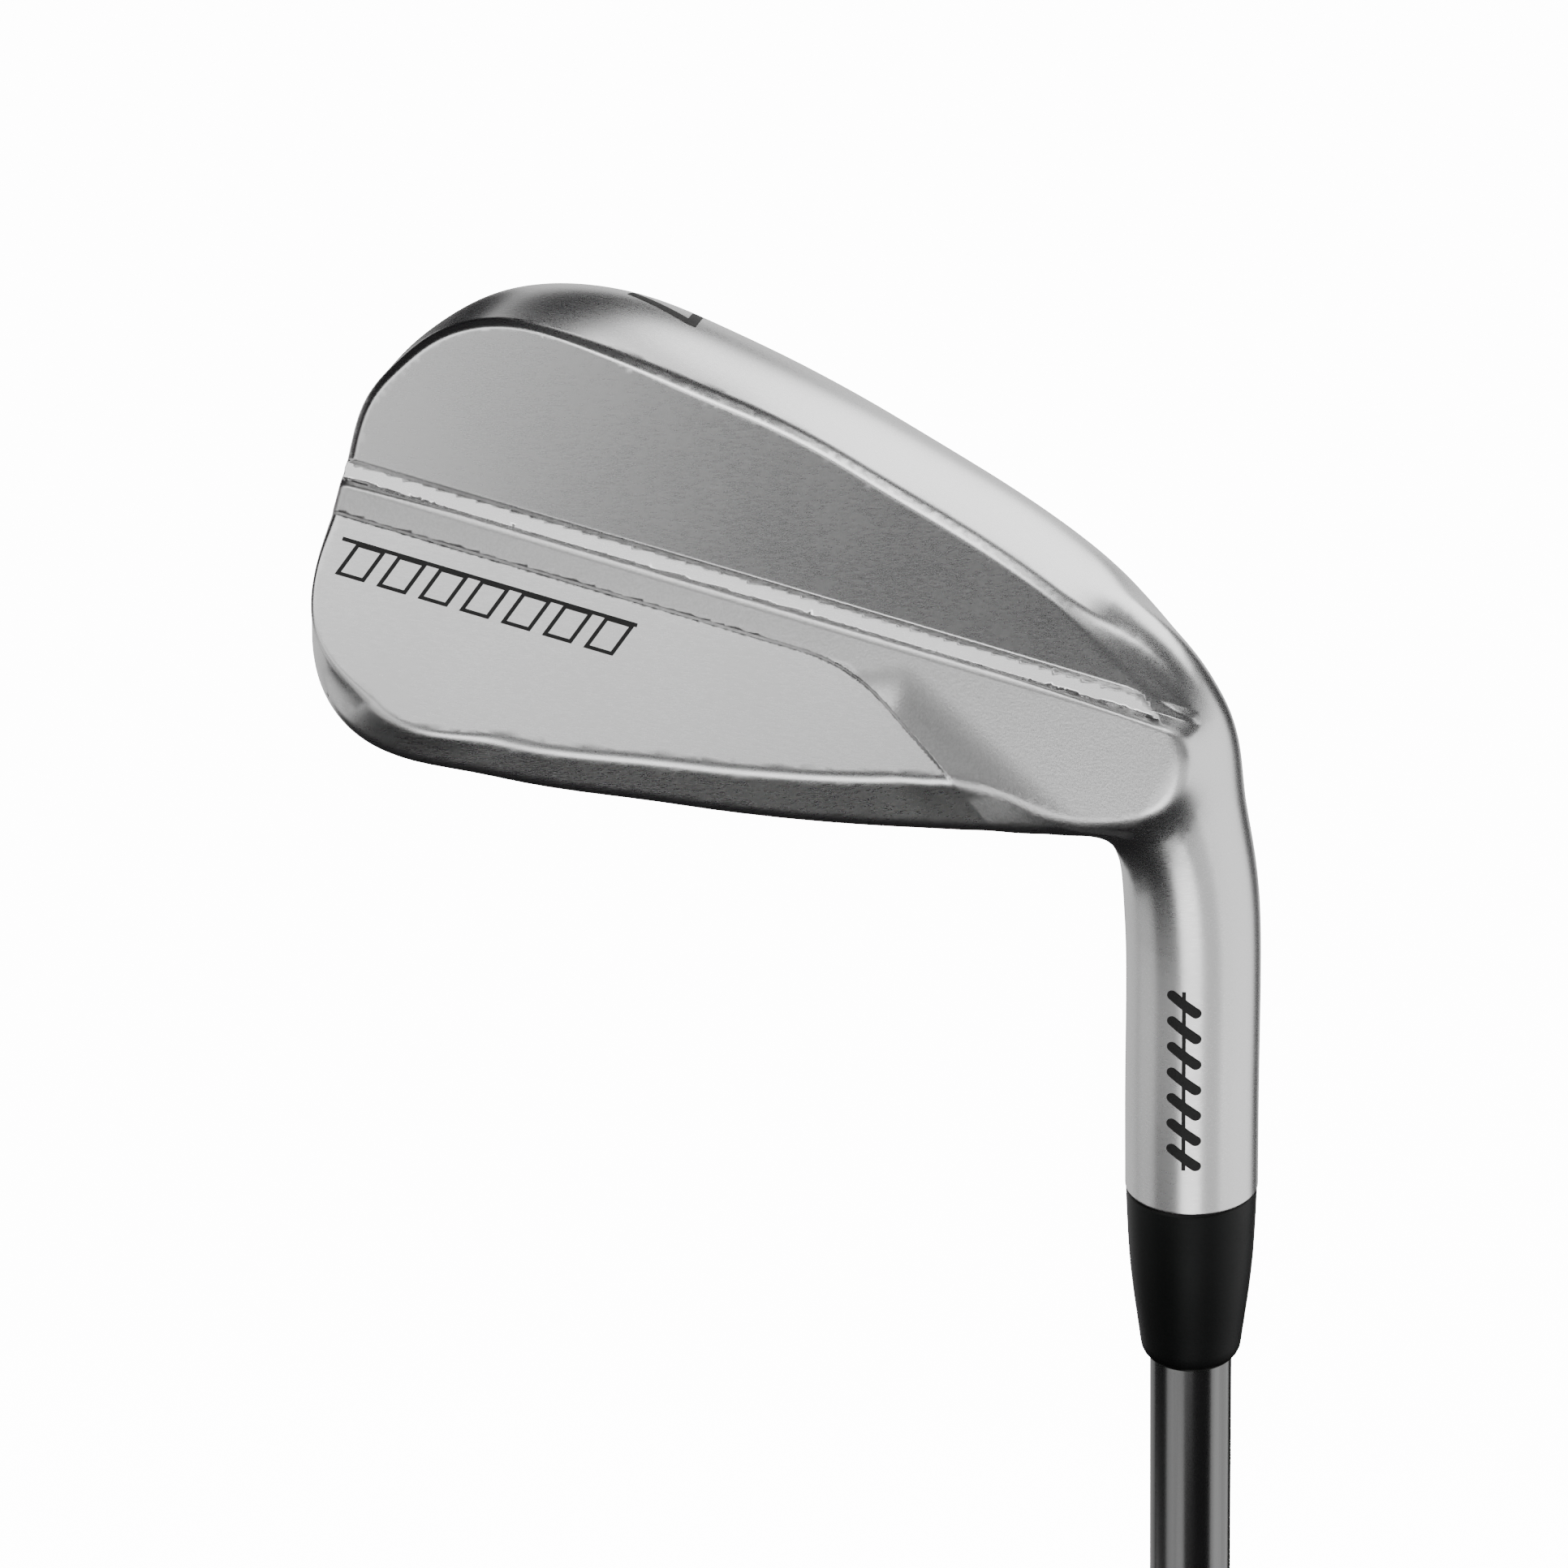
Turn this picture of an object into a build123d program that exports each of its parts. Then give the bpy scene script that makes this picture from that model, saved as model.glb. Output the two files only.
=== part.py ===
from build123d import *
from math import cos, radians, sin
import os

os.makedirs("parts", exist_ok=True)

# ---- club, in mm and degrees ----
club_length = 940.0        # grip butt to the ground line, along the shaft
lie = 62.5                 # shaft to ground
loft_angle = 30.0          # face to the vertical
hosel_to_ground = 72.0
hosel_radius = 7.25
bore_depth = 33.0
hosel_length = 31.0        # straight part
face_offset = 4.4          # face plane behind the shaft axis, at the heel
ground_drop = 8.0          # ground line below the head frame's origin

# ---- shaft, ferrule and grip ----
tip_radius = 4.5
shaft_wall = 0.45
bond_gap = 0.12
step_drop = 0.26           # radius lost at each step of the tube
step_pitch = 31.0
step_count = 12
step_start = 260.0
step_ramp = 1.2
butt_radius = tip_radius + step_drop * step_count
tip_plug_length = 6.0
bore_radius = tip_radius + bond_gap
inner_radius = tip_radius - shaft_wall
fill_plug_radius = 3.0
fill_plug_length = 3.0
ferrule_length = 21.2
ferrule_radius = 7.15
nose_inner = 4.9
ferrule_profile = [(0.0, 7.15), (6.3, 6.97), (10.3, 6.67), (14.2, 6.29), (18.2, 5.77), (20.3, 5.4)]
grip_length = 267.0
grip_profile = [(13.2, 5.0), (12.9, 30.0), (11.9, 95.0), (10.9, 170.0), (9.9, 235.0), (9.0, 267.0)]
cap_thickness = 5.0
cap_radius = 13.9
cap_round = 1.6
tape_thickness = 0.15
tape_margin = 3.0
vent_radius = 1.6

# ---- head outline, at the widest level of the blade ----
rim_level = 2.5
trail_level = 17.5
face_round = 1.2
rim_heel = [(-6.0, 4.0), (-5.0, 18.8)]
trail_heel = [(9.0, 4.6), (9.0, 26.7)]
topline = [(14.1, 29.4), (27.6, 35.8), (44.3, 42.6), (58.0, 47.7)]
crown = [(58.0, 47.7), (69.2, 50.9), (77.7, 48.6), (82.6, 42.5), (85.3, 34.0)]
rim_toe = [(85.3, 34.0), (86.6, 26.6), (88.2, 19.0), (86.2, 9.3), (79.1, 0.2)]
rim_sole = [(79.1, 0.2), (70.6, -4.0), (58.1, -6.0), (41.3, -6.5), (20.3, -5.6), (5.0, -2.6)]
trail_toe = [(85.3, 34.0), (86.4, 26.6), (87.6, 19.0), (85.2, 10.8), (79.5, 6.0)]
trail_sole = [(79.5, 6.0), (72.0, 3.9), (57.0, 2.2), (42.0, 1.2), (28.0, 1.6), (17.0, 2.7)]
crown_way = (12.0, 4.2)
toe_way = (0.6, -6.0)
corner_way = (-5.0, -4.4)
trail_corner_way = (-5.0, -2.4)
heel_way = (-3.0, 1.5)

# ---- topline bevel, from the silhouette up to the ridge ----
bevel_level = 13.0
bevel_rim = [(-16.0, 13.0), (0.0, 21.6), (14.1, 29.4), (27.6, 35.8), (44.3, 42.6), (58.0, 47.7)]
bevel_rim = bevel_rim + [(69.2, 50.9), (77.7, 48.6), (84.5, 38.0)]
bevel_inner = [(-8.0, 0.0), (7.0, 10.0), (19.4, 17.8), (32.6, 24.7), (48.7, 32.0), (61.2, 38.2)]
bevel_inner = bevel_inner + [(68.6, 41.6), (75.0, 42.6), (84.0, 37.0)]
bevel_far = [(120.0, 38.0), (120.0, 90.0), (-16.0, 90.0)]

# ---- back relief: heights over the face plane ----
channel_angle = 13.0       # channel to the blade's long axis
channel_edge = 6.1         # muscle side of the channel, measured across it
channel_width = 1.9
channel_floor = 10.0
channel_heel = -1.0
muscle_height = 12.0       # at the channel
muscle_slope = 17.0
ramp_height = 11.2
ramp_slope = 23.6
pad_height = 8.4           # blade pad, at its step
pad_slope = 8.3
pad_edge = 11.6
reach = 120.0
pad_heel = [(31.0, 19.1), (28.8, 19.6), (13.0, 25.2), (13.0, 90.0)]
tall = 40.0
channel_mid = channel_edge + channel_width / 2
channel_top = channel_edge + channel_width
channel_area = [(channel_heel, channel_edge), (reach, channel_edge), (reach, channel_top), (channel_heel, channel_top)]

# ---- hollow under the face plate ----
plate_thickness = 2.2
plate_outline = [(18.0, 0.5), (78.0, 3.5), (81.0, 20.0), (78.0, 41.0), (66.0, 45.5), (20.0, 27.0)]
plate_round = 4.0
hollow_outline = [(21.0, 3.0), (75.0, 6.0), (78.0, 20.0), (75.0, 38.5), (65.0, 41.5), (23.0, 24.0)]
hollow_round = 3.0
hollow_top = 5.2
deep_outline = [(22.0, 2.5), (74.0, 5.5), (77.5, 19.3), (24.0, 7.9)]
deep_round = 1.5
deep_top = 11.5
weight_split = 62.0
score_count = 13
score_pitch = 2.9
score_low = 4.0
score_width = 0.9
score_depth = 0.45
score_ends = (24.0, 74.0)
score_field = [(20.0, 2.5), (76.0, 5.0), (79.0, 20.0), (76.0, 39.5), (66.0, 43.5), (21.0, 24.5)]

# ---- engraved marks with paint in them ----
mark_depth = 0.3
mark_pitch = 4.5
mark_count = 7
mark_first = 59.0          # along the channel
mark_across = 4.3          # from the step of the pad
bar_outer = [(-2.3, -1.9), (0.9, -1.9), (2.3, 1.9), (-0.9, 1.9)]
bar_inner = [(-1.7, -1.5), (0.6, -1.5), (1.7, 1.5), (-0.6, 1.5)]
rail_length = 32.0
rail_width = 0.42
digit_depth = 0.45
digit_outline = [(-2.2, 5.0), (2.2, 5.0), (2.2, 3.9), (-0.6, -5.0), (-2.0, -5.0), (0.7, 3.8), (-2.2, 3.8)]
digit_spot = (66.8, -3.6, 4.7)
sole_way = (0, 0.5, 0.866)
sole_normal = (0, -0.866, 0.5)
leaf_depth = 0.6
leaf_size = (4.4, 1.2)
leaf_pitch = 3.1
leaf_count = 7
leaf_lean = 38.0
leaf_start = 7.2           # above the ferrule
leaf_turn = 4.0
proud = 1.0

# ---- head frame: X to the toe, Y up the face, Z out of the back ----
toe_dir = Vector(-sin(radians(lie)), 0, cos(radians(lie)))
up_dir = Vector(-cos(radians(lie)), 0, -sin(radians(lie)))
rear_dir = Vector(0, -1, 0)
back_dir = rear_dir * cos(radians(loft_angle)) - up_dir * sin(radians(loft_angle))
hosel_top = club_length - hosel_to_ground
head_origin = Vector(0, 0, club_length - ground_drop) - back_dir * face_offset
head = Plane(origin=head_origin, x_dir=toe_dir, z_dir=back_dir)


def head_point(x, y, z):
    return head.from_local_coords(Vector(x, y, z))


def head_way(x, y, z):
    return head_point(x, y, z) - head_origin


def plan(along, across):
    """A point of the head's plan, measured along and across the channel."""
    turn = radians(channel_angle)
    return (cos(turn) * along - sin(turn) * across, sin(turn) * along + cos(turn) * across)


def relief(edge, height, fall):
    """Plane of a back surface that falls away from the channel by an angle."""
    turn = radians(channel_angle)
    tilt = radians(fall)
    spot = head_point(-sin(turn) * edge, cos(turn) * edge, height)
    along = head_way(cos(turn), sin(turn), 0)
    normal = head_way(-sin(turn) * sin(tilt), cos(turn) * sin(tilt), cos(tilt))
    return Plane(origin=spot, x_dir=along, z_dir=normal)


def neck_plane(centre, major, normal):
    return Plane(origin=head_point(*centre), x_dir=head_way(*major), z_dir=head_way(*normal))


hosel_plane = Plane(origin=(0, 0, hosel_top), x_dir=(1, 0, 0), z_dir=(0, 0, 1))
neck_sections = [
    (neck_plane((-7.5, 15.9, -3.4), (0.676, 0.737, -0.145), (-0.74, 0.62, -0.3)), 7.4, 7.1),
    (neck_plane((-1.2, 12.9, 1.2), (0.35, 0.93, -0.12), (-0.93, 0.33, -0.15)), 10.9, 6.9),
    (neck_plane((8.5, 11.7, 4.4), (0.06, 1.0, 0), (-1.0, 0.06, 0)), 14.9, 6.0),
    (neck_plane((20.0, 11.0, 3.2), (0, 1, 0), (-1, 0, 0)), 12.0, 1.8),
]
muscle_plane = relief(channel_edge, muscle_height, muscle_slope)
floor_plane = relief(channel_edge, channel_floor, 0)
ramp_plane = relief(channel_edge + channel_width, ramp_height, ramp_slope)
pad_plane = relief(pad_edge, pad_height, pad_slope)


# ---- cutters for the back: each is a tall block with its floor on the finished surface ----
with BuildPart() as muscle_cut:
    with BuildSketch(head):
        with BuildLine():
            Polyline(plan(-30, -60), plan(reach, -60), plan(reach, channel_mid), plan(-30, channel_mid), close=True)
        make_face()
    extrude(amount=tall)
    split(bisect_by=muscle_plane, keep=Keep.TOP)
with BuildPart() as channel_cut:
    with BuildSketch(head):
        with BuildLine():
            Polyline(*[plan(*spot) for spot in channel_area], close=True)
        make_face()
    extrude(amount=tall)
    split(bisect_by=floor_plane, keep=Keep.TOP)
with BuildPart() as ramp_cut:
    with BuildSketch(head):
        with BuildLine():
            Polyline(plan(-30, channel_mid), plan(reach, channel_mid), plan(reach, pad_edge), *pad_heel, (-30, 90), close=True)
        make_face()
    extrude(amount=tall)
    split(bisect_by=ramp_plane, keep=Keep.TOP)
with BuildPart() as pad_cut:
    with BuildSketch(head):
        with BuildLine():
            Polyline(plan(reach, pad_edge), *pad_heel, (reach, 90), close=True)
        make_face()
    extrude(amount=tall)
    split(bisect_by=pad_plane, keep=Keep.TOP)
with BuildPart() as bevel_cut:
    with BuildSketch(head.offset(rim_level)):
        with BuildLine():
            Spline(*bevel_rim)
            Polyline(bevel_rim[-1], *bevel_far, bevel_rim[0])
        make_face()
    with BuildSketch(head.offset(bevel_level)):
        with BuildLine():
            Spline(*bevel_inner)
            Polyline(bevel_inner[-1], *bevel_far, bevel_inner[0])
        make_face()
    loft(ruled=True)
with BuildPart() as neck:
    with BuildSketch(hosel_plane):
        Circle(hosel_radius)
    extrude(amount=hosel_length)
    with BuildSketch(hosel_plane.offset(hosel_length)):
        Circle(hosel_radius)
    with BuildSketch(hosel_plane.offset(hosel_length + 4)):
        Circle(hosel_radius)
    for section_plane, major, minor in neck_sections:
        with BuildSketch(section_plane):
            Ellipse(major, minor)
    loft()

# ---- striking head: blade, neck and hosel are one forging ----
with BuildPart() as head_body:
    with BuildSketch(head.offset(rim_level)) as rim:
        with BuildLine():
            Spline(rim_heel[1], *topline)
            Spline(*crown, tangents=[crown_way, toe_way])
            Spline(*rim_toe, tangents=[toe_way, corner_way])
            Spline(*rim_sole, rim_heel[0], tangents=[corner_way, heel_way])
            Line(rim_heel[0], rim_heel[1])
        make_face()
    with BuildSketch(head.offset(trail_level)) as trail:
        with BuildLine():
            Spline(trail_heel[1], *topline)
            Spline(*crown, tangents=[crown_way, toe_way])
            Spline(*trail_toe, tangents=[toe_way, trail_corner_way])
            Spline(*trail_sole, trail_heel[0], tangents=[trail_corner_way, heel_way])
            Line(trail_heel[0], trail_heel[1])
        make_face()
    loft(ruled=True)
    extrude(rim.sketch, amount=-rim_level)
    add(bevel_cut.part, mode=Mode.SUBTRACT)
    add(neck.part)
    add(muscle_cut.part, mode=Mode.SUBTRACT)
    add(channel_cut.part, mode=Mode.SUBTRACT)
    add(ramp_cut.part, mode=Mode.SUBTRACT)
    add(pad_cut.part, mode=Mode.SUBTRACT)
    with BuildSketch(head):
        with Locations((56.0, 20.0)):
            Rectangle(98.0, 80.0)
    extrude(amount=-20, mode=Mode.SUBTRACT)
    with BuildSketch(head) as plate_plan:
        with BuildLine():
            Polyline(*plate_outline, close=True)
        make_face()
        fillet(plate_plan.vertices(), radius=plate_round)
    extrude(amount=plate_thickness, mode=Mode.SUBTRACT)
    with BuildSketch(head.offset(plate_thickness)) as hollow_plan:
        with BuildLine():
            Polyline(*hollow_outline, close=True)
        make_face()
        fillet(hollow_plan.vertices(), radius=hollow_round)
    extrude(amount=hollow_top - plate_thickness, mode=Mode.SUBTRACT)
    with BuildSketch(head.offset(plate_thickness)) as deep_plan:
        with BuildLine():
            Polyline(*deep_outline, close=True)
        make_face()
        fillet(deep_plan.vertices(), radius=deep_round)
    extrude(amount=deep_top - plate_thickness, mode=Mode.SUBTRACT)
    with BuildSketch(hosel_plane):
        Circle(bore_radius)
    extrude(amount=bore_depth, mode=Mode.SUBTRACT)
    with BuildSketch(hosel_plane.offset(bore_depth)):
        Circle(fill_plug_radius)
    extrude(amount=fill_plug_length, mode=Mode.SUBTRACT)
uncut_head = head_body.part

uncut_head = head_body.part

# ---- engraving tools ----
digit_plane = Plane(origin=head_point(*digit_spot), x_dir=head_way(*sole_way), z_dir=head_way(*sole_normal))
leaf_out = Vector(sin(radians(leaf_turn)), -cos(radians(leaf_turn)), 0)
leaf_plane = Plane(origin=Vector(0, 0, hosel_top) + leaf_out * hosel_radius, x_dir=(0, 0, -1), z_dir=leaf_out)
mark_spots = [(mark_first + mark_pitch * k, mark_across) for k in range(mark_count)]
leaf_spots = [Location((-leaf_start - leaf_pitch * k, 0), 90 - leaf_lean) for k in range(leaf_count)]
with BuildPart() as mark_tool:
    with BuildSketch(pad_plane) as mark_plan:
        with Locations(*mark_spots):
            Polygon(*bar_outer, align=None)
        with Locations(*mark_spots):
            Polygon(*bar_inner, align=None, mode=Mode.SUBTRACT)
        with Locations((mark_spots[mark_count // 2][0], mark_across - 1.9)):
            Rectangle(rail_length, rail_width)
    extrude(amount=proud)
    extrude(mark_plan.sketch, amount=-mark_depth)
with BuildPart() as digit_tool:
    with BuildSketch(digit_plane) as digit_plan:
        Polygon(*digit_outline, align=None)
    extrude(amount=proud)
    extrude(digit_plan.sketch, amount=-digit_depth)
with BuildPart() as leaf_tool:
    with BuildSketch(leaf_plane) as leaf_plan:
        with Locations(*leaf_spots):
            SlotOverall(*leaf_size)
        with Locations((-leaf_start - leaf_pitch * (leaf_count - 1) / 2, 0)):
            Rectangle(leaf_pitch * leaf_count, rail_width)
    extrude(amount=proud)
    extrude(leaf_plan.sketch, amount=-leaf_depth)

# ---- paint fills, cut to the head's own surface ----
with BuildPart() as back_mark_fill:
    add(mark_tool.part)
    add(uncut_head, mode=Mode.INTERSECT)
with BuildPart() as sole_number_fill:
    add(digit_tool.part)
    add(uncut_head, mode=Mode.INTERSECT)
with BuildPart() as hosel_mark_fill:
    add(leaf_tool.part)
    add(uncut_head, mode=Mode.INTERSECT)
with BuildPart() as engraved_head:
    add(uncut_head)
    add(mark_tool.part, mode=Mode.SUBTRACT)
    add(digit_tool.part, mode=Mode.SUBTRACT)
    add(leaf_tool.part, mode=Mode.SUBTRACT)

# ---- face plate with its score lines ----
score_spots = [((score_ends[0] + score_ends[1]) / 2, score_low + score_pitch * k) for k in range(score_count)]
with BuildPart() as face_plate:
    with BuildSketch(head) as plate_shape:
        with BuildLine():
            Polyline(*plate_outline, close=True)
        make_face()
        fillet(plate_shape.vertices(), radius=plate_round)
    extrude(amount=plate_thickness)
    with BuildSketch(head):
        with Locations(*score_spots):
            Rectangle(score_ends[1] - score_ends[0], score_width)
        with BuildLine():
            Polyline(*score_field, close=True)
        make_face(mode=Mode.INTERSECT)
    extrude(amount=score_depth, mode=Mode.SUBTRACT)

# ---- weight and damper inside the hollow ----
split_plane = Plane(origin=head_point(weight_split, 0, 0), x_dir=up_dir, z_dir=toe_dir)
with BuildPart() as damping_core:
    with BuildSketch(head.offset(plate_thickness)) as core_plan:
        with BuildLine():
            Polyline(*deep_outline, close=True)
        make_face()
        fillet(core_plan.vertices(), radius=deep_round)
    extrude(amount=deep_top - plate_thickness)
    split(bisect_by=split_plane, keep=Keep.BOTTOM)
with BuildPart() as toe_weight:
    with BuildSketch(head.offset(plate_thickness)) as weight_plan:
        with BuildLine():
            Polyline(*deep_outline, close=True)
        make_face()
        fillet(weight_plan.vertices(), radius=deep_round)
    extrude(amount=deep_top - plate_thickness)
    split(bisect_by=split_plane, keep=Keep.TOP)

# ---- shaft: a stepped steel tube, bonded in the bore ----
shaft_end = hosel_top + bore_depth
first_step = shaft_end - step_start
tube_outer = [(tip_radius, shaft_end), (tip_radius, first_step)]
for k in range(step_count):
    ledge = first_step - step_pitch * k
    radius = tip_radius + step_drop * (k + 1)
    tube_outer.append((radius, ledge - step_ramp))
    if k < step_count - 1:
        tube_outer.append((radius, ledge - step_pitch))
tube_outer.append((butt_radius, cap_thickness))
tube_inner = [(spot[0] - shaft_wall, spot[1]) for spot in reversed(tube_outer)]
with BuildPart() as shaft:
    with BuildSketch(Plane.XZ):
        with BuildLine():
            Polyline(*tube_outer, *tube_inner, close=True)
        make_face()
    revolve(axis=Axis.Z)
with BuildPart() as tip_plug:
    with BuildSketch(Plane.XY.offset(shaft_end - tip_plug_length)):
        Circle(inner_radius)
    extrude(amount=tip_plug_length)
with BuildPart() as epoxy_bond:
    with BuildSketch(hosel_plane):
        Circle(bore_radius)
        Circle(tip_radius, mode=Mode.SUBTRACT)
    extrude(amount=bore_depth)
with BuildPart() as bore_plug:
    with BuildSketch(hosel_plane.offset(bore_depth)):
        Circle(fill_plug_radius)
    extrude(amount=fill_plug_length)

# ---- ferrule ----
nose = hosel_top - ferrule_length
with BuildPart() as ferrule:
    with BuildSketch(Plane.XZ):
        with BuildLine():
            Spline(*[(r, hosel_top - d) for d, r in ferrule_profile])
            Line((ferrule_profile[-1][1], hosel_top - ferrule_profile[-1][0]), (nose_inner, nose))
            Polyline((nose_inner, nose), (tip_radius, nose), (tip_radius, hosel_top), (ferrule_radius, hosel_top))
        make_face()
    revolve(axis=Axis.Z)

# ---- grip: cap, sleeve and the tape under it ----
tape_radius = butt_radius + tape_thickness
with BuildPart() as grip_tape:
    with BuildSketch(Plane.XY.offset(cap_thickness)):
        Circle(tape_radius)
        Circle(butt_radius, mode=Mode.SUBTRACT)
    extrude(amount=grip_length - cap_thickness - tape_margin)
with BuildPart() as grip_sleeve:
    with BuildSketch(Plane.XZ):
        with BuildLine():
            Spline(*grip_profile)
            Polyline(grip_profile[-1], (butt_radius, grip_length), (butt_radius, grip_length - tape_margin))
            Polyline((butt_radius, grip_length - tape_margin), (tape_radius, grip_length - tape_margin))
            Polyline((tape_radius, grip_length - tape_margin), (tape_radius, cap_thickness), grip_profile[0])
        make_face()
    revolve(axis=Axis.Z)
with BuildPart() as grip_cap:
    with BuildSketch(Plane.XY):
        Circle(cap_radius)
    extrude(amount=cap_thickness)
    fillet(grip_cap.edges(), radius=cap_round)
    with BuildSketch(Plane.XY):
        Circle(vent_radius)
    extrude(amount=cap_thickness, mode=Mode.SUBTRACT)

engraved_head.part.label = "head_body"
face_plate.part.label = "face_plate"
toe_weight.part.label = "toe_weight"
damping_core.part.label = "damping_core"
back_mark_fill.part.label = "back_mark_fill"
sole_number_fill.part.label = "sole_number_fill"
hosel_mark_fill.part.label = "hosel_mark_fill"
bore_plug.part.label = "bore_plug"
shaft.part.label = "shaft"
tip_plug.part.label = "tip_plug"
epoxy_bond.part.label = "epoxy_bond"
ferrule.part.label = "ferrule"
grip_tape.part.label = "grip_tape"
grip_sleeve.part.label = "grip_sleeve"
grip_cap.part.label = "grip_cap"
export_step(engraved_head.part, "parts/head_body.step")
export_step(face_plate.part, "parts/face_plate.step")
export_step(toe_weight.part, "parts/toe_weight.step")
export_step(damping_core.part, "parts/damping_core.step")
export_step(back_mark_fill.part, "parts/back_mark_fill.step")
export_step(sole_number_fill.part, "parts/sole_number_fill.step")
export_step(hosel_mark_fill.part, "parts/hosel_mark_fill.step")
export_step(bore_plug.part, "parts/bore_plug.step")
export_step(shaft.part, "parts/shaft.step")
export_step(tip_plug.part, "parts/tip_plug.step")
export_step(epoxy_bond.part, "parts/epoxy_bond.step")
export_step(ferrule.part, "parts/ferrule.step")
export_step(grip_tape.part, "parts/grip_tape.step")
export_step(grip_sleeve.part, "parts/grip_sleeve.step")
export_step(grip_cap.part, "parts/grip_cap.step")
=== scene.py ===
"""Right-hand 7 iron: satin steel hollow head, black ferrule, stepped shaft and rubber grip."""

import math

import bmesh
import bpy
import numpy as np
from mathutils import Matrix, Vector


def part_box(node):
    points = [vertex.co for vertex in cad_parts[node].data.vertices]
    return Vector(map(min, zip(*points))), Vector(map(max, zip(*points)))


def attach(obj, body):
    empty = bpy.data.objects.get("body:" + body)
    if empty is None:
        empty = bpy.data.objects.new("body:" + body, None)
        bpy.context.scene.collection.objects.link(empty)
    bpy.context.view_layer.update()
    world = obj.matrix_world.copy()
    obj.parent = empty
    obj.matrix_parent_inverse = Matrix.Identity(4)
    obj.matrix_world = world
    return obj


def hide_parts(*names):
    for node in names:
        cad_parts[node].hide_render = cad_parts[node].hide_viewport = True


bl_info = {
    "name": "Iron Golf Club",
    "version": (1, 0, 0),
    "blender": (4, 5, 0),
    "location": "View3D > Sidebar > Iron",
    "description": "Builds the visible pieces of a 7 iron on its packed frame",
    "category": "Add Mesh",
}

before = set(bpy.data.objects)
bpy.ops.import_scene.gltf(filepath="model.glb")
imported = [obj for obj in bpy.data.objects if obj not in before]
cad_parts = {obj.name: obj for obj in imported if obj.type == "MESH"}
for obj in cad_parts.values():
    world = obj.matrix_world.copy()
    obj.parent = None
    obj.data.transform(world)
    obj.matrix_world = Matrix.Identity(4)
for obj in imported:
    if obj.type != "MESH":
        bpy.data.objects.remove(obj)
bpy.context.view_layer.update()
MM = 0.001

# ---------------------------------------------------------------- the head's own frame
LIE, LOFT = math.radians(62.5), math.radians(30.0)
TOEWARD = np.array([-math.sin(LIE), 0.0, math.cos(LIE)])
UPRIGHT = np.array([-math.cos(LIE), 0.0, -math.sin(LIE)])
REARWARD = np.array([0.0, -1.0, 0.0])
UPFACE = math.cos(LOFT) * UPRIGHT + math.sin(LOFT) * REARWARD
BACKWARD = math.cos(LOFT) * REARWARD - math.sin(LOFT) * UPRIGHT
HEAD_AXES = np.array([TOEWARD, UPFACE, BACKWARD])
HEAD_ORIGIN = np.array([0.0, 0.0, 932.0]) - 4.4 * BACKWARD
HOSEL_TOP = 868.0
HOSEL_RADIUS = 7.25


def to_head(points):
    """The club's frame in metres to the head's own frame in millimetres."""
    return (points / MM - HEAD_ORIGIN) @ HEAD_AXES.T


def from_head(points):
    return (points @ HEAD_AXES + HEAD_ORIGIN) * MM


# ---------------------------------------------------------------- soft joins between surfaces
def soft_max(a, b, blend):
    """Higher of two fields, with the corner between them rounded."""
    h = np.clip(0.5 + 0.5 * (a - b) / blend, 0.0, 1.0)
    return b + (a - b) * h + blend * h * (1.0 - h)


def soft_min(a, b, blend):
    return -soft_max(-a, -b, blend)


def ease(value, low, high):
    t = np.clip((value - low) / (high - low), 0.0, 1.0)
    return t * t * (3.0 - 2.0 * t)


# ---------------------------------------------------------------- outline of the blade
CENTRE = (45.0, 20.0)
RING = 720
SMOOTH_REACH, SMOOTH_SPREAD = 12, 3.2
# crown and topline, from high on the toe to the neck, the same at both levels of the wall
TOPLINE = [
    (84.8, 35.8), (83.2, 40.9), (80.3, 45.8), (75.8, 49.6), (71.2, 50.9), (66.7, 50.5), (61.4, 48.8),
    (55.6, 46.9), (44.3, 42.6), (35.9, 39.3), (27.6, 35.8), (19.5, 32.0), (14.1, 29.3), (8.9, 26.6),
    (3.7, 23.5),
]
RIM = [
    (87.9, 19.4), (87.1, 23.0), (86.2, 26.8), (85.6, 31.0), *TOPLINE, (-3.0, 18.5), (-6.0, 12.0),
    (-4.5, 5.5), (0.2, 0.6), (7.0, -3.0), (16.6, -5.2), (27.4, -6.1), (41.3, -6.5), (52.0, -6.3),
    (61.5, -5.6), (70.6, -4.0), (76.6, -1.4), (82.1, 2.8), (86.0, 9.0), (87.8, 14.5),
]
EDGE = [
    (88.2, 19.5), (87.7, 23.4), (87.0, 26.4), (85.8, 31.0), *TOPLINE, (-1.0, 18.0), (-2.0, 13.0),
    (-0.5, 9.0), (3.6, 6.2), (8.5, 4.3), (17.8, 2.1), (27.5, 1.35), (42.2, 0.95), (52.2, 1.4),
    (62.1, 2.6), (73.0, 4.1), (78.3, 5.4), (82.2, 7.6), (85.3, 11.1), (87.2, 15.6),
]
# share of the topline's bevel at each point of the rim
CROWN = [0.0] * 5 + [0.04, 0.45] + [1.0] * 12 + [0.5] + [0.0] * 14


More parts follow.
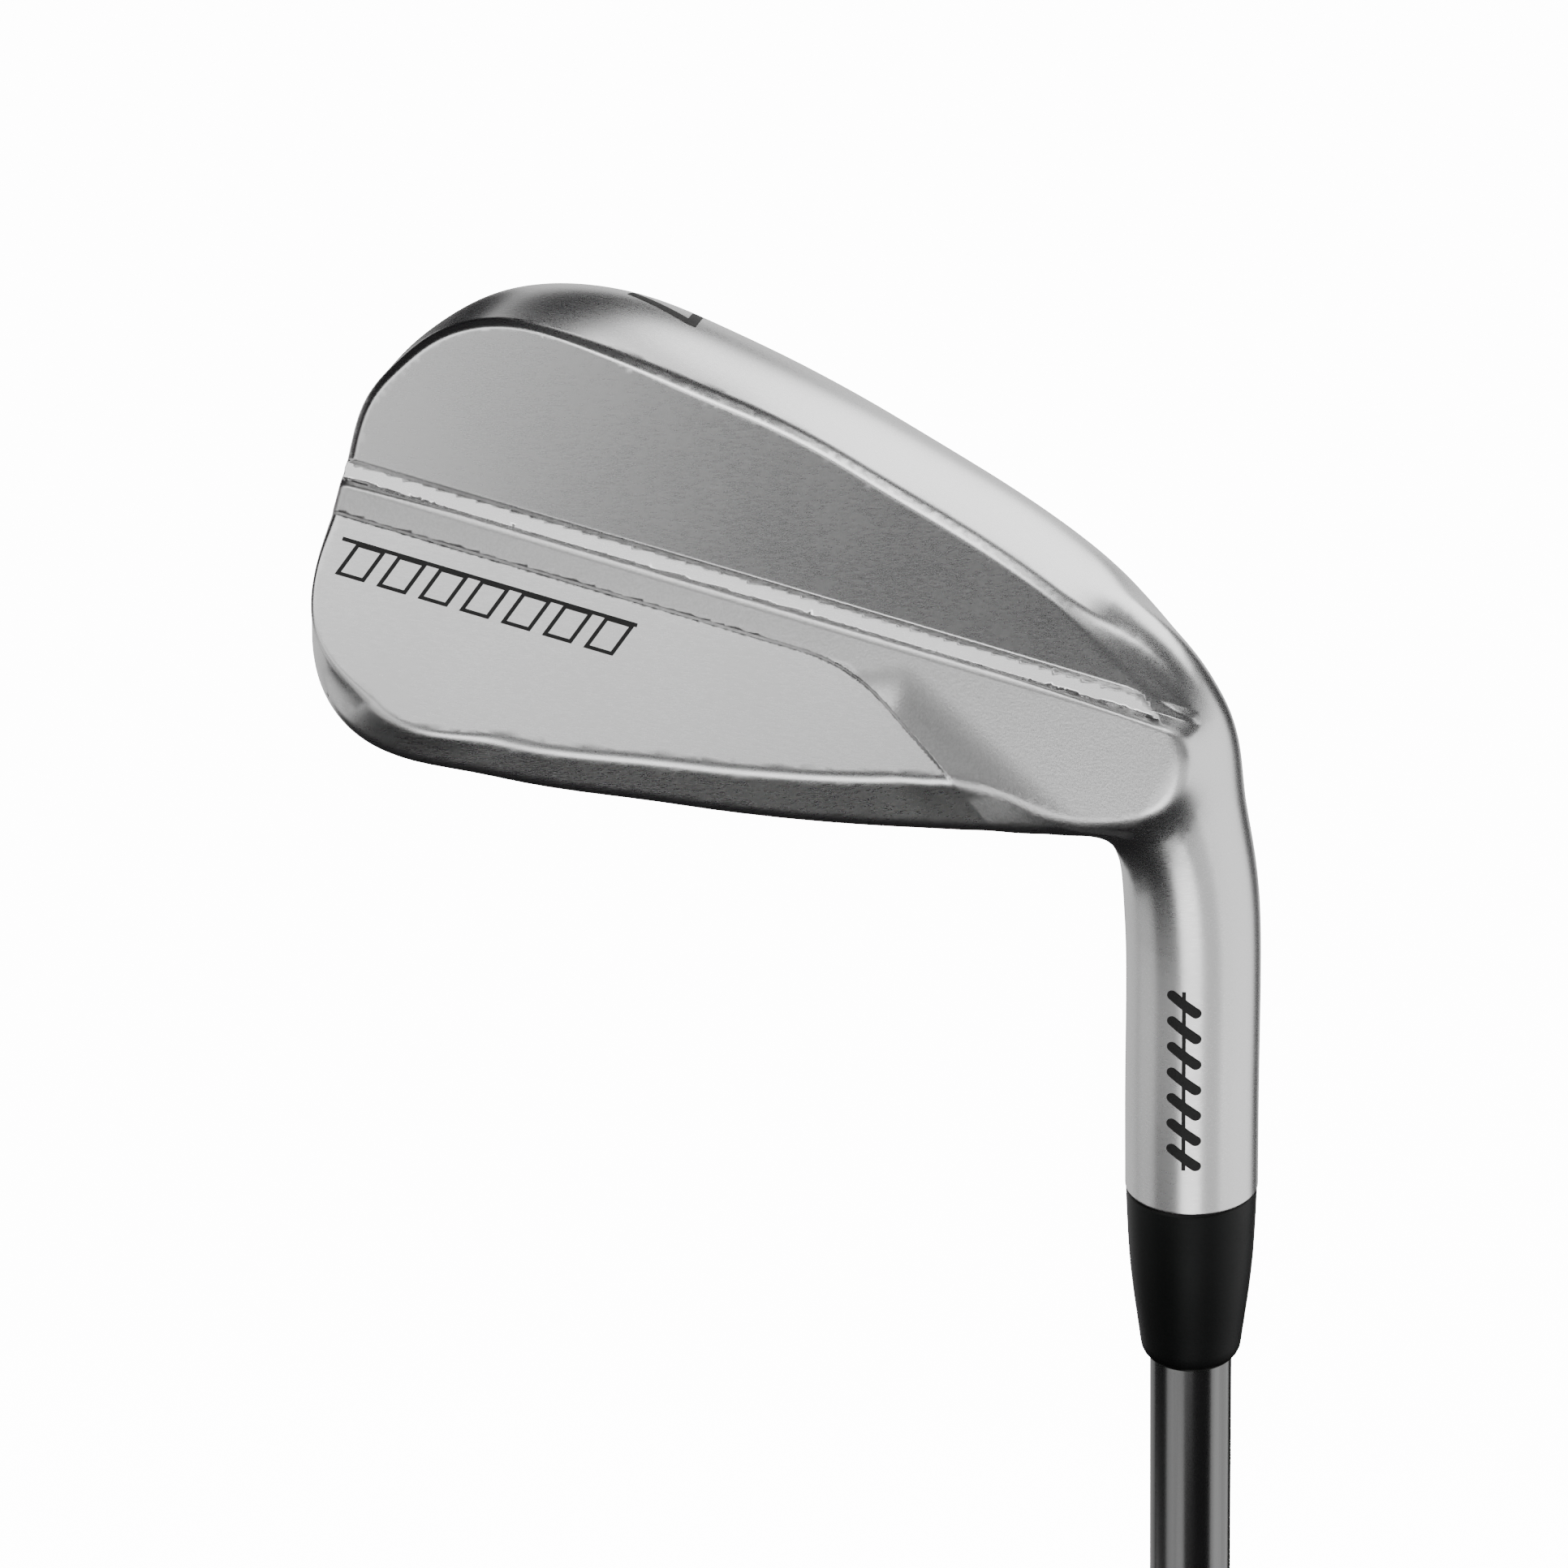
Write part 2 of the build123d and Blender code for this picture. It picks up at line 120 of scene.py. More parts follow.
def ring_values(spots, values):
    """Smooth closed curve over the angle round the blade's middle, as a fine table."""
    spots, values = np.array(spots), np.array(values, float)
    angle = np.arctan2(spots[:, 1] - CENTRE[1], spots[:, 0] - CENTRE[0]) % math.tau
    order = np.argsort(angle)
    a, v = angle[order], values[order]
    gap = np.diff(np.append(a, a[0] + math.tau))
    count = len(a)
    matrix, right = np.zeros((count, count)), np.zeros(count)
    for i in range(count):
        after = (i + 1) % count
        matrix[i, i - 1] += gap[i - 1]
        matrix[i, i] += 2 * (gap[i - 1] + gap[i])
        matrix[i, after] += gap[i]
        right[i] = 6 * ((v[after] - v[i]) / gap[i] - (v[i] - v[i - 1]) / gap[i - 1])
    bend = np.linalg.solve(matrix, right)
    t = (np.arange(RING) / RING * math.tau - a[0]) % math.tau + a[0]
    k = np.clip(np.searchsorted(a, t, side="right") - 1, 0, count - 1)
    after = (k + 1) % count
    low, high, h = t - a[k], a[k] + gap[k] - t, gap[k]
    table = (bend[k] * high**3 + bend[after] * low**3) / (6 * h)
    table += (v[k] / h - bend[k] * h / 6) * high + (v[after] / h - bend[after] * h / 6) * low
    reach = np.arange(-SMOOTH_REACH, SMOOTH_REACH + 1)
    weight = np.exp(-0.5 * (reach / SMOOTH_SPREAD) ** 2)
    weight /= weight.sum()
    return sum(w * np.roll(table, s) for w, s in zip(weight, reach))


def ring_read(table, angle):
    """Reads a ring table between its entries, with no corners."""
    place = (angle % math.tau) / math.tau * RING
    k = np.floor(place).astype(int)
    f = place - k
    p0, p1, p2, p3 = (table[(k + s) % RING] for s in (-1, 0, 1, 2))
    return p1 + 0.5 * f * (p2 - p0 + f * (2 * p0 - 5 * p1 + 4 * p2 - p3 + f * (3 * (p1 - p2) + p3 - p0)))


def radii(spots):
    return [math.hypot(x - CENTRE[0], y - CENTRE[1]) for x, y in spots]


CHANNEL_TURN = math.radians(13.0)
CHANNEL_Q = (6.1, 8.0)
CHANNEL_FLOOR = 10.0
STEP_Q = 11.6
MUSCLE_TILT, RAMP_TILT, PAD_TILT = 0.306, 0.48, 0.146
MUSCLE_HEIGHT, RAMP_HEIGHT, PAD_HEIGHT = 12.0, 11.2, 8.4
MUSCLE_CAMBER, MUSCLE_MIDDLE = 0.0008, 45.0
# straight edges in plan, as the two parts of a direction and the distance along it
CHANNEL_END = (0.415, 0.91, 7.6)
PAD_HEEL = (0.334, 0.943, 28.1)
# the heel wedge: height at a spot, rise toward the toe, fall up the face, and where it folds down
WEDGE_HEIGHT, WEDGE_SPOT = 7.1, (15.0, 24.5)
WEDGE_RISE, WEDGE_FALL = 0.2067, 0.0351
FOLD_START, FOLD_SHARPNESS, FOLD_SLOPE = 25.0, 2.0, 0.45
RIM_LEVEL = 3.0
BEVEL_START, BEVEL_SLOPE = 2.4, 0.905
WALL_CURVE, WALL_ROUND = 1.7, 0.9
LEAD_ROUND, SOLE_ROUND = 1.2, 3.6
NECK_BLEND = 3.6


def across(x, y):
    return -math.sin(CHANNEL_TURN) * x + math.cos(CHANNEL_TURN) * y


def muscle_level(x, y):
    camber = MUSCLE_CAMBER * (x - MUSCLE_MIDDLE) ** 2
    return MUSCLE_HEIGHT + MUSCLE_TILT * (CHANNEL_Q[0] - across(x, y)) - camber


RIM_RING = ring_values(RIM, radii(RIM))
EDGE_RING = ring_values(EDGE, radii(EDGE))
EDGE_LEVELS = [muscle_level(x, y) if across(x, y) < CHANNEL_Q[0] else MUSCLE_HEIGHT for x, y in EDGE]
LEVEL_RING = ring_values(EDGE, EDGE_LEVELS)
CROWN_RING = ring_values(RIM, CROWN)


# ---------------------------------------------------------------- neck and hosel
# centre, long way, normal, half length, half thickness
NECK = [
    ((-36.95, 61.46, -30.99), (0.857, 0.515, 0.0), (-0.4617, 0.7682, -0.4435), HOSEL_RADIUS, HOSEL_RADIUS),
    ((-25.4, 42.25, -19.9), (0.857, 0.515, 0.0), (-0.4617, 0.7682, -0.4435), HOSEL_RADIUS, HOSEL_RADIUS),
    ((-14.5, 24.1, -9.5), (0.857, 0.515, 0.0), (-0.49, 0.755, -0.435), HOSEL_RADIUS, HOSEL_RADIUS),
    ((-7.7, 15.9, -3.4), (0.70, 0.70, -0.13), (-0.74, 0.62, -0.3), 7.5, 7.3),
    ((-1.2, 12.6, 2.2), (0.35, 0.90, -0.25), (-0.93, 0.33, -0.15), 10.9, 7.2),
    ((8.5, 11.4, 4.4), (0.06, 0.93, -0.36), (-1.0, 0.06, 0.0), 13.0, 5.3),
    ((21.0, 11.0, 4.2), (0.0, 0.97, -0.25), (-1.0, 0.0, 0.0), 7.0, 2.0),
]
NECK_ROWS = 121


def neck_rows():
    """Sections of the neck, read smoothly between the given ones."""
    rows = np.array([[*c, *m, *n, a, b] for c, m, n, a, b in NECK])
    rows = np.vstack([2 * rows[0] - rows[1], rows, 2 * rows[-1] - rows[-2]])
    t = np.linspace(0, len(NECK) - 1.0001, NECK_ROWS)
    k = t.astype(int)
    f = (t - k)[:, None]
    p0, p1, p2, p3 = (rows[k + s] for s in range(4))
    made = p1 + 0.5 * f * (p2 - p0 + f * (2 * p0 - 5 * p1 + 4 * p2 - p3 + f * (3 * (p1 - p2) + p3 - p0)))
    for first in (3, 6):
        made[:, first : first + 3] /= np.linalg.norm(made[:, first : first + 3], axis=1)[:, None]
    return made


STATIONS = neck_rows()


def station(place):
    place = np.clip(place, 0, NECK_ROWS - 1.001)
    k = place.astype(int)
    f = (place - k)[:, None]
    return STATIONS[k] * (1 - f) + STATIONS[k + 1] * f


def neck_field(p):
    """Distance to the swept neck, measured in the section whose plane holds the point."""
    place = np.zeros(len(p))
    best = np.full(len(p), 1e9)
    for k in range(0, NECK_ROWS, 4):
        gap = ((p - STATIONS[k, :3]) ** 2).sum(1)
        closer = gap < best
        place[closer], best[closer] = k, gap[closer]
    for _ in range(4):
        here, there = station(place), station(place + 0.5)
        now = ((p - here[:, :3]) * here[:, 6:9]).sum(1)
        change = 2.0 * (((p - there[:, :3]) * there[:, 6:9]).sum(1) - now)
        change = np.where(abs(change) < 1e-3, 1e-3, change)
        place = np.clip(place - np.clip(now / change, -6, 6), 0.0, NECK_ROWS - 1.5)
    place = np.where(p[:, 0] > NECK[-1][0][0], NECK_ROWS - 1.001, place)
    s = station(place)
    offset = p - s[:, :3]
    side = np.cross(s[:, 6:9], s[:, 3:6])
    u = (offset * s[:, 3:6]).sum(1) / s[:, 9]
    v = (offset * side).sum(1) / s[:, 10]
    along = (offset * s[:, 6:9]).sum(1)
    size = np.sqrt(u * u + v * v) + 1e-9
    slope = np.sqrt((u / size / s[:, 9]) ** 2 + (v / size / s[:, 10]) ** 2)
    field = (size - 1.0) / slope
    return np.where(place > NECK_ROWS - 2.0, np.maximum(field, np.abs(along)), field)


# ---------------------------------------------------------------- the head as one field
PLATE = [(18, 0.5), (78, 3.5), (81, 20), (78, 41), (66, 45.5), (20, 27)]
PLATE_CORNER = 4.0
SEAM = 0.14


def plate_field(x, y):
    """Distance to the face plate's outline, with its round corners."""
    inside = None
    count = len(PLATE)
    for k in range(count):
        (ax, ay), (bx, by) = PLATE[k], PLATE[(k + 1) % count]
        long = math.hypot(bx - ax, by - ay)
        d = ((x - ax) * (by - ay) - (y - ay) * (bx - ax)) / long
        inside = d if inside is None else soft_max(inside, d, PLATE_CORNER * 0.9)
    return inside - SEAM


def blade_field(x, y, z):
    dx, dy = x - CENTRE[0], y - CENTRE[1]
    angle, size = np.arctan2(dy, dx), np.hypot(dx, dy) + 1e-9
    rim, edge, level = (ring_read(r, angle) for r in (RIM_RING, EDGE_RING, LEVEL_RING))
    crown = np.clip(ring_read(CROWN_RING, angle), 0.0, 1.0)
    rise = np.clip((z - RIM_LEVEL) / (level - RIM_LEVEL), 0.0, 1.3)
    turn = (ring_read(RIM_RING, angle + 0.01) - ring_read(RIM_RING, angle - 0.01)) / 0.02 / rim
    square = 1.0 / np.sqrt(1.0 + turn * turn)
    wall = (size - rim - (edge - rim) * rise**WALL_CURVE) * square
    inset = (size - rim) * square
    bevel = (z - BEVEL_START + BEVEL_SLOPE * inset) / math.hypot(1.0, BEVEL_SLOPE)
    bevel = wall + (bevel - wall) * crown
    blade = soft_max(wall, bevel, WALL_ROUND)
    lead = LEAD_ROUND + SOLE_ROUND * ease(-y, -5.0, 4.0)
    return soft_max(blade, -z, lead)


def pad_level(q):
    return PAD_HEIGHT - PAD_TILT * (q - STEP_Q)


def pad_edge(x, y, q):
    """Plan outline of the pad below the ramp, negative inside it."""
    return soft_max(STEP_Q - q, PAD_HEEL[2] - (PAD_HEEL[0] * x + PAD_HEEL[1] * y), 3.0)


def pocket_level(x, y, q):
    """Height of the ramp and the heel wedge, the higher of the two."""
    ramp = RAMP_HEIGHT - RAMP_TILT * (q - CHANNEL_Q[1])
    fold = np.logaddexp(0.0, (x - FOLD_START) * FOLD_SHARPNESS) / FOLD_SHARPNESS
    wedge = WEDGE_HEIGHT + WEDGE_RISE * (x - WEDGE_SPOT[0]) - WEDGE_FALL * (y - WEDGE_SPOT[1])
    wedge = wedge - FOLD_SLOPE * fold
    return soft_max(ramp, wedge, 1.0)


def relief_field(x, y, z):
    """Muscle panel, ramp, heel wedge and pad as one skin over the back, with a soft step."""
    q = across(x, y)
    clear = 0.8 * np.clip(q - 7.4, 0.0, None)
    muscle = (z - muscle_level(x, y) - clear) / math.hypot(1.0, MUSCLE_TILT)
    pocket, pad = pocket_level(x, y, q), pad_level(q)
    skin = pad + (pocket - pad) * ease(pad_edge(x, y, q), -0.8, 0.8)
    return soft_max(muscle, (z - skin) / 1.1, 0.3)


def head_field(p):
    x, y, z = p[:, 0], p[:, 1], p[:, 2]
    q = across(x, y)
    body = soft_min(blade_field(x, y, z), neck_field(p), NECK_BLEND)
    lead = np.clip(11.0 - x, 0.0, None)
    body = soft_max(body, -z - lead * lead / 24.0, 1.2)
    row_z = (p @ HEAD_AXES)[:, 2] + HEAD_ORIGIN[2]
    body = soft_max(body, HOSEL_TOP - row_z, 0.3)
    relief = relief_field(x, y, z)
    chamfer = 1.15 * ease(q, 7.2, 6.0)
    blend = 0.25 + 0.7 * ease(q, 6.2, 7.6) * (1.0 - 0.65 * ease(q, 12.0, 18.0))
    slanted = (body + relief) * math.sqrt(0.5) + chamfer * 0.5
    body = soft_max(soft_max(body, relief, blend), slanted, 0.25)
    seat = np.maximum(plate_field(x, y), z - 0.6)
    return soft_max(body, -seat, 0.08)


# half width of a cut wall, and the worn lips on both sides of the channel
WALL = 0.14
LIP_DROP, LIP_WIDTH = 0.42, 0.9
BROW_DROP, BROW_WIDTH = 0.12, 0.35
END_FADE = 0.9


def ramp_up(value):
    """0 to 1 across a wall's foot and head."""
    return np.clip((value + WALL) / (2.0 * WALL), 0.0, 1.0)


def carve(p):
    """Cuts the channel and sharpens the pad's step. Gives the moved points and which ones lie near a cut."""
    x, y, z = p[:, 0], p[:, 1], p[:, 2]
    q = across(x, y)
    step = pad_edge(x, y, q)
    drop = pocket_level(x, y, q) - pad_level(q)
    on_skin = ease(relief_field(x, y, z), -1.2, -0.3) * (z > 3.5)
    z = z + on_skin * drop * (ramp_up(step) - ease(step, -0.8, 0.8))
    end = CHANNEL_END[0] * x + CHANNEL_END[1] * y - CHANNEL_END[2]
    along = np.clip((end + WALL) / END_FADE, 0.0, 1.0)
    lip = np.clip(1.0 - (q - CHANNEL_Q[1] - WALL) / LIP_WIDTH, 0.0, 1.0) * (q > CHANNEL_Q[1])
    brow = np.clip(1.0 - (CHANNEL_Q[0] - WALL - q) / BROW_WIDTH, 0.0, 1.0) * (q < CHANNEL_Q[0])
    z = z - on_skin * along * (LIP_DROP * lip**2 + BROW_DROP * brow**2)
    inside = ramp_up(q - CHANNEL_Q[0]) * ramp_up(CHANNEL_Q[1] - q) * ramp_up(end)
    z = np.where(z > CHANNEL_FLOOR, CHANNEL_FLOOR + (z - CHANNEL_FLOOR) * (1.0 - inside), z)
    near = (end > -0.5) & (q > CHANNEL_Q[0] - 0.8) & (q < CHANNEL_Q[1] + 1.2) & (z > 8.0)
    near |= (np.abs(step) < 1.0) & (on_skin > 0.05) & (drop > 0.0)
    return np.stack([x, y, z], 1), near


def slope_of(field, p, step=0.02):
    """Field and its gradient by differences to the corners of a small tetrahedron."""
    corners = np.array([(1, -1, -1), (-1, -1, 1), (-1, 1, -1), (1, 1, 1)], float)
    samples = [field(p + step * c) for c in corners]
    gradient = sum(s[:, None] * c for s, c in zip(samples, corners)) / (4.0 * step)
    return sum(samples) / 4.0, gradient


def carved_surface(p):
    """Carved points, and their normals in the club's frame.

    Normals near a cut come from two short steps over the skin."""
    base = slope_of(head_field, p)[1]
    base /= np.maximum(np.linalg.norm(base, axis=1), 1e-9)[:, None]
    carved, near = carve(p)
    facing = near & (base[:, 2] > 0.3)
    spot, tilt = p[facing], base[facing]
    tangents = []
    for axis in (0, 1):
        pair = []
        for way in (-0.04, 0.04):
            moved = spot.copy()
            moved[:, axis] += way
            moved[:, 2] -= way * tilt[:, axis] / tilt[:, 2]
            pair.append(carve(moved)[0])
        tangents.append(pair[1] - pair[0])
    normal = np.cross(*tangents)
    base[facing] = normal / np.maximum(np.linalg.norm(normal, axis=1), 1e-9)[:, None]
    base[near & ~facing] = 0.0
    return carved, base @ HEAD_AXES


def settle(p, rounds, lift=0.0):
    """Moves points along the gradient on to the head's surface."""
    for _ in range(rounds):
        value, gradient = slope_of(head_field, p)
        steep = np.maximum((gradient**2).sum(1), 0.2)
        move = gradient * ((value - lift) / steep)[:, None]
        far = np.linalg.norm(move, axis=1)
        p = p - move * np.minimum(1.0, 0.7 / np.maximum(far, 1e-9))[:, None]
    return p


# ---------------------------------------------------------------- mesh helpers
def merged(nodes):
    """Merged copy of CAD nodes in a new bmesh."""
    work = bmesh.new()
    for node in nodes:
        work.from_mesh(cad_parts[node].data)
    bmesh.ops.remove_doubles(work, verts=work.verts, dist=2e-6)
    return work


def finish_piece(name, work, material, node=None, smooth=40.0):
    """Makes the piece's object, smooth but for its real corners, and ties it to the frame."""
    mesh = bpy.data.meshes.new(name)
    work.to_mesh(mesh)
    work.free()
    mesh.polygons.foreach_set("use_smooth", [True] * len(mesh.polygons))
    if smooth:
        mesh.set_sharp_from_angle(angle=math.radians(smooth))
    piece = bpy.data.objects.new(name, mesh)
    bpy.context.scene.collection.objects.link(piece)
    mesh.materials.append(material)
    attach(piece, "root")
    if node:
        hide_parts(*([node] if isinstance(node, str) else node))
    return piece


def work_points(work):
    return np.array([v.co[:] for v in work.verts])


def place_points(work, points):
    for v, co in zip(work.verts, points):
        v.co = co


def surface_normals(points):
    gradient = slope_of(head_field, to_head(points))[1] @ HEAD_AXES
    return gradient / np.maximum(np.linalg.norm(gradient, axis=1), 1e-9)[:, None]


def refine(work, turn, shortest, rounds, lift=0.0):
    """Splits the edges where the surface turns quickly, and settles the new points."""
    for _ in range(rounds):
        work.verts.ensure_lookup_table()
        points = work_points(work)
        normals = surface_normals(points)
        x, y, z = to_head(points).T
        close = (np.abs(pad_edge(x, y, across(x, y))) < 0.7) & (z > 5.5) & (x < 40.0) & (x > 13.0)
        cut = []
        limit = math.cos(math.radians(turn))
        for edge in work.edges:
            a, b = edge.verts[0].index, edge.verts[1].index
            long = edge.calc_length()
            bent = float(normals[a] @ normals[b]) < limit
            if long > shortest * MM and (bent or (long > 2.0 * shortest * MM and close[a] and close[b])):
                cut.append(edge)
        if not cut:
            break
        bmesh.ops.subdivide_edges(work, edges=cut, cuts=1)
        bmesh.ops.triangulate(work, faces=[f for f in work.faces if len(f.verts) > 3])
        work.verts.index_update()
        place_points(work, from_head(settle(to_head(work_points(work)), 3, lift)))


def full_turn(work, outline, steps):
    """Spins an outline all the way round the shaft's axis."""
    turn = {"cent": (0, 0, 0), "axis": (0, 0, 1), "angle": math.tau}
    bmesh.ops.spin(work, geom=outline, steps=steps, use_merge=True, **turn)


def lathe(name, profile, steps, material, node=None, smooth=40.0):
    """Turned piece: a profile of radius and height in millimetres, spun round the shaft's axis."""
    work = bmesh.new()
    ring = [work.verts.new((r * MM, 0.0, z * MM)) for r, z in profile]
    rail = [work.edges.new(pair) for pair in zip(ring, ring[1:])]
    full_turn(work, ring + rail, steps)
    bmesh.ops.remove_doubles(work, verts=work.verts, dist=1e-6)
    bmesh.ops.dissolve_degenerate(work, edges=work.edges, dist=1e-7)
    bmesh.ops.recalc_face_normals(work, faces=work.faces)
    return finish_piece(name, work, material, node, smooth)


# ---------------------------------------------------------------- shader maths
class Wire:
    """A socket whose sums add Math nodes."""

    def __init__(self, graph, socket):
        self.graph, self.socket = graph, socket

    def math(self, operation, *others, flip=False):
        terms = [self, *others]
        if flip:
            terms.reverse()
        return self.graph.node("ShaderNodeMath", {"operation": operation}, *terms)[0]

    def __add__(self, other):
        return self.math("ADD", other)

    __radd__ = __add__

    def __mul__(self, other):
        return self.math("MULTIPLY", other)

    __rmul__ = __mul__

    def __sub__(self, other):
        return self.math("SUBTRACT", other)

    def __rsub__(self, other):
        return self.math("SUBTRACT", other, flip=True)

    def __truediv__(self, other):
        return self.math("DIVIDE", other)

    def between(self, low, high):
        """0 below low, 1 above high, eased."""
        eased = {"interpolation_type": "SMOOTHSTEP"}
        return self.graph.node("ShaderNodeMapRange", eased, self, float(low), float(high), 0.0, 1.0)[0]

    def lower(self, other):
        return self.math("MINIMUM", other)

    def upper(self, other):
        return self.math("MAXIMUM", other)


class Finish:
    """Material graph of one finish."""

    def __init__(self, name, color, metallic, roughness, **constants):
        self.material = bpy.data.materials.new(name)
        self.material.use_nodes = True
        self.tree = self.material.node_tree
        self.shader = self.tree.nodes["Principled BSDF"]
        self.set("Base Color", (*color, 1.0) if not isinstance(color, Wire) else color)
        self.set("Metallic", metallic)
        self.set("Roughness", roughness)
        for socket, value in constants.items():
            self.set(socket.replace("_", " "), value)
        self.place = self.node("ShaderNodeTexCoord")[3]

    def set(self, socket, value):
        if isinstance(value, Wire):
            self.tree.links.new(value.socket, self.shader.inputs[socket])
        else:
            self.shader.inputs[socket].default_value = value

    def node(self, kind, settings=None, *values, **named):
        """Adds a node: its settings first, then the values or links of its sockets."""
        made = self.tree.nodes.new(kind)
        for key, value in (settings or {}).items():
            if key == "stops":
                for stop, (at, tone) in zip(made.color_ramp.elements, value):
                    stop.position, stop.color = at, tone
            else:
                setattr(made, key, value)
        sockets = [s for s in made.inputs if s.enabled]
        pairs = list(zip(sockets, values)) + [(made.inputs[k.replace("_", " ")], v) for k, v in named.items()]
        for socket, value in pairs:
            if isinstance(value, Wire):
                self.tree.links.new(value.socket, socket)
            elif value is not None:
                socket.default_value = value
        return [Wire(self, s) for s in made.outputs if s.enabled]

    def noise(self, scale, stretch=(1, 1, 1), turn=(0, 0, 0), detail=3.0, place=None):
        size = tuple(s * scale for s in stretch)
        spot = self.node("ShaderNodeMapping", None, place or self.place, (0, 0, 0), turn, size)[0]
        return self.node("ShaderNodeTexNoise", None, Vector=spot, Scale=1.0, Detail=detail)[0]

    def mix(self, share, first, second):
        made = self.tree.nodes.new("ShaderNodeMix")
        made.data_type = "RGBA"
        for index, value in ((0, share), (6, first), (7, second)):
            if isinstance(value, Wire):
                self.tree.links.new(value.socket, made.inputs[index])
            else:
                made.inputs[index].default_value = (*value, 1.0) if index else value
        return Wire(self, made.outputs[2])

    def bump(self, height, depth, strength=1.0):
        """Height map in millimetres as a Bump node into the Normal socket."""
        made = self.node("ShaderNodeBump", None, Strength=strength, Distance=depth * MM, Height=height)[0]
        self.set("Normal", made)

    def along(self, direction, origin=(0, 0, 0)):
        """Distance in millimetres along a direction from an origin, at each point."""
        middle = self.node("ShaderNodeVectorMath", {"operation": "SUBTRACT"}, self.place, tuple(origin))[0]
        way = tuple(float(d) / MM for d in direction)
        return self.node("ShaderNodeVectorMath", {"operation": "DOT_PRODUCT"}, middle, way)[-1]


def grey(level):
    return (level, level, level)


def steel_finish(tone):
    """Satin forging: fine brush lines on the panels, bead blast on the ramp."""
    f = Finish("brushed_steel", grey(tone), 1.0, 0.3)
    origin = HEAD_ORIGIN * MM
    x, y, z = (f.along(axis, origin) for axis in HEAD_AXES)
    q = y * math.cos(CHANNEL_TURN) - x * math.sin(CHANNEL_TURN)
    ramp_gap = z + q * RAMP_TILT - (RAMP_HEIGHT + RAMP_TILT * CHANNEL_Q[1])
    wedge_base = WEDGE_HEIGHT - WEDGE_RISE * WEDGE_SPOT[0] + WEDGE_FALL * WEDGE_SPOT[1]
    wedge_gap = z - x * WEDGE_RISE + y * WEDGE_FALL - wedge_base
    skin = ramp_gap.math("ABSOLUTE").lower(wedge_gap.math("ABSOLUTE"))
    off_pad = (STEP_Q - q).upper(PAD_HEEL[2] - (x * PAD_HEEL[0] + y * PAD_HEEL[1]))
    blasted = q.between(CHANNEL_Q[1] - 0.1, CHANNEL_Q[1] + 0.3) * off_pad.between(-0.2, 0.2)
    blasted = blasted * (1.0 - skin.between(0.45, 0.9)) * x.between(-4.5, -3.0)
    lines = f.noise(1.0, (260.0, 5200.0, 5200.0), detail=3.0)
    cloud = f.noise(60.0, detail=3.0)
    grain = f.noise(3400.0, detail=1.0)
    brushed = 1.0 - blasted
    rough = 0.21 + lines * 0.09 * brushed + cloud * 0.05 + blasted * 0.16
    f.set("Roughness", rough)
    shade = f.mix(blasted * (0.25 + grain.between(0.35, 0.65) * 0.4), grey(tone), grey(tone * 0.85))
    shade = f.mix((lines - 0.45).upper(0.0) * brushed * 0.5, shade, grey(tone * 0.86))
    f.set("Base Color", shade)
    f.bump(lines * brushed * 0.28 + grain * blasted * 8.0, 0.0022)
    return f.material


def face_finish(tone):
    f = Finish("milled_face", grey(tone), 1.0, 0.38)
    lines = f.noise(1.0, (500.0, 5200.0, 5200.0), (0.0, math.radians(-27.5), 0.0), 2.0)
    wear = f.noise(45.0, detail=4.0)
    f.set("Roughness", 0.30 + lines * 0.12 + wear * 0.08)
    f.set("Base Color", f.mix(wear.between(0.45, 0.75) * 0.4, grey(tone), grey(tone * 0.85)))
    f.bump(lines, 0.003)
    return f.material


def chrome_finish(tone):
    """Plated tube with faint lines left by drawing it lengthwise."""
    f = Finish("drawn_chrome", grey(tone), 1.0, 0.1)
    drawn = f.noise(1.0, (900.0, 900.0, 6.0), detail=3.0)
    cloud = f.noise(1.0, (120.0, 120.0, 14.0), detail=3.0)
    f.set("Roughness", 0.16 + drawn * 0.12 + cloud.between(0.5, 0.8) * 0.06)
    f.set("Base Color", f.mix(drawn.between(0.35, 0.7) * 0.5, grey(tone), grey(tone * 0.6)))
    f.bump(drawn, 0.003)
    return f.material


def ferrule_finish(tone):
    f = Finish("turned_plastic", grey(tone), 0.0, 0.42, Specular_IOR_Level=0.16)
    polish = f.noise(1.0, (800.0, 800.0, 5000.0), detail=2.0)
    smear = f.noise(110.0, detail=4.0)
    f.set("Roughness", 0.36 + smear * 0.12 + polish * 0.05)
    f.set("Base Color", f.mix(smear * 0.5, grey(tone), grey(tone * 1.8)))
    f.bump(polish, 0.003)
    return f.material


def paint_finish(tone):
    f = Finish("mark_paint", grey(tone), 0.0, 0.5, Specular_IOR_Level=0.25)
    speck = f.noise(3500.0, detail=2.0)
    f.set("Roughness", 0.42 + speck * 0.2)
    f.set("Base Color", f.mix(speck * 0.6, grey(tone), grey(tone * 2.0)))
    f.bump(speck, 0.012)
    return f.material


# the grip's diamonds: how many go round it, and the heights of one diamond and of one band, in millimetres
KNURLS_ROUND, KNURL_PITCH, BAND_PITCH = 36.0, 2.2, 45.0


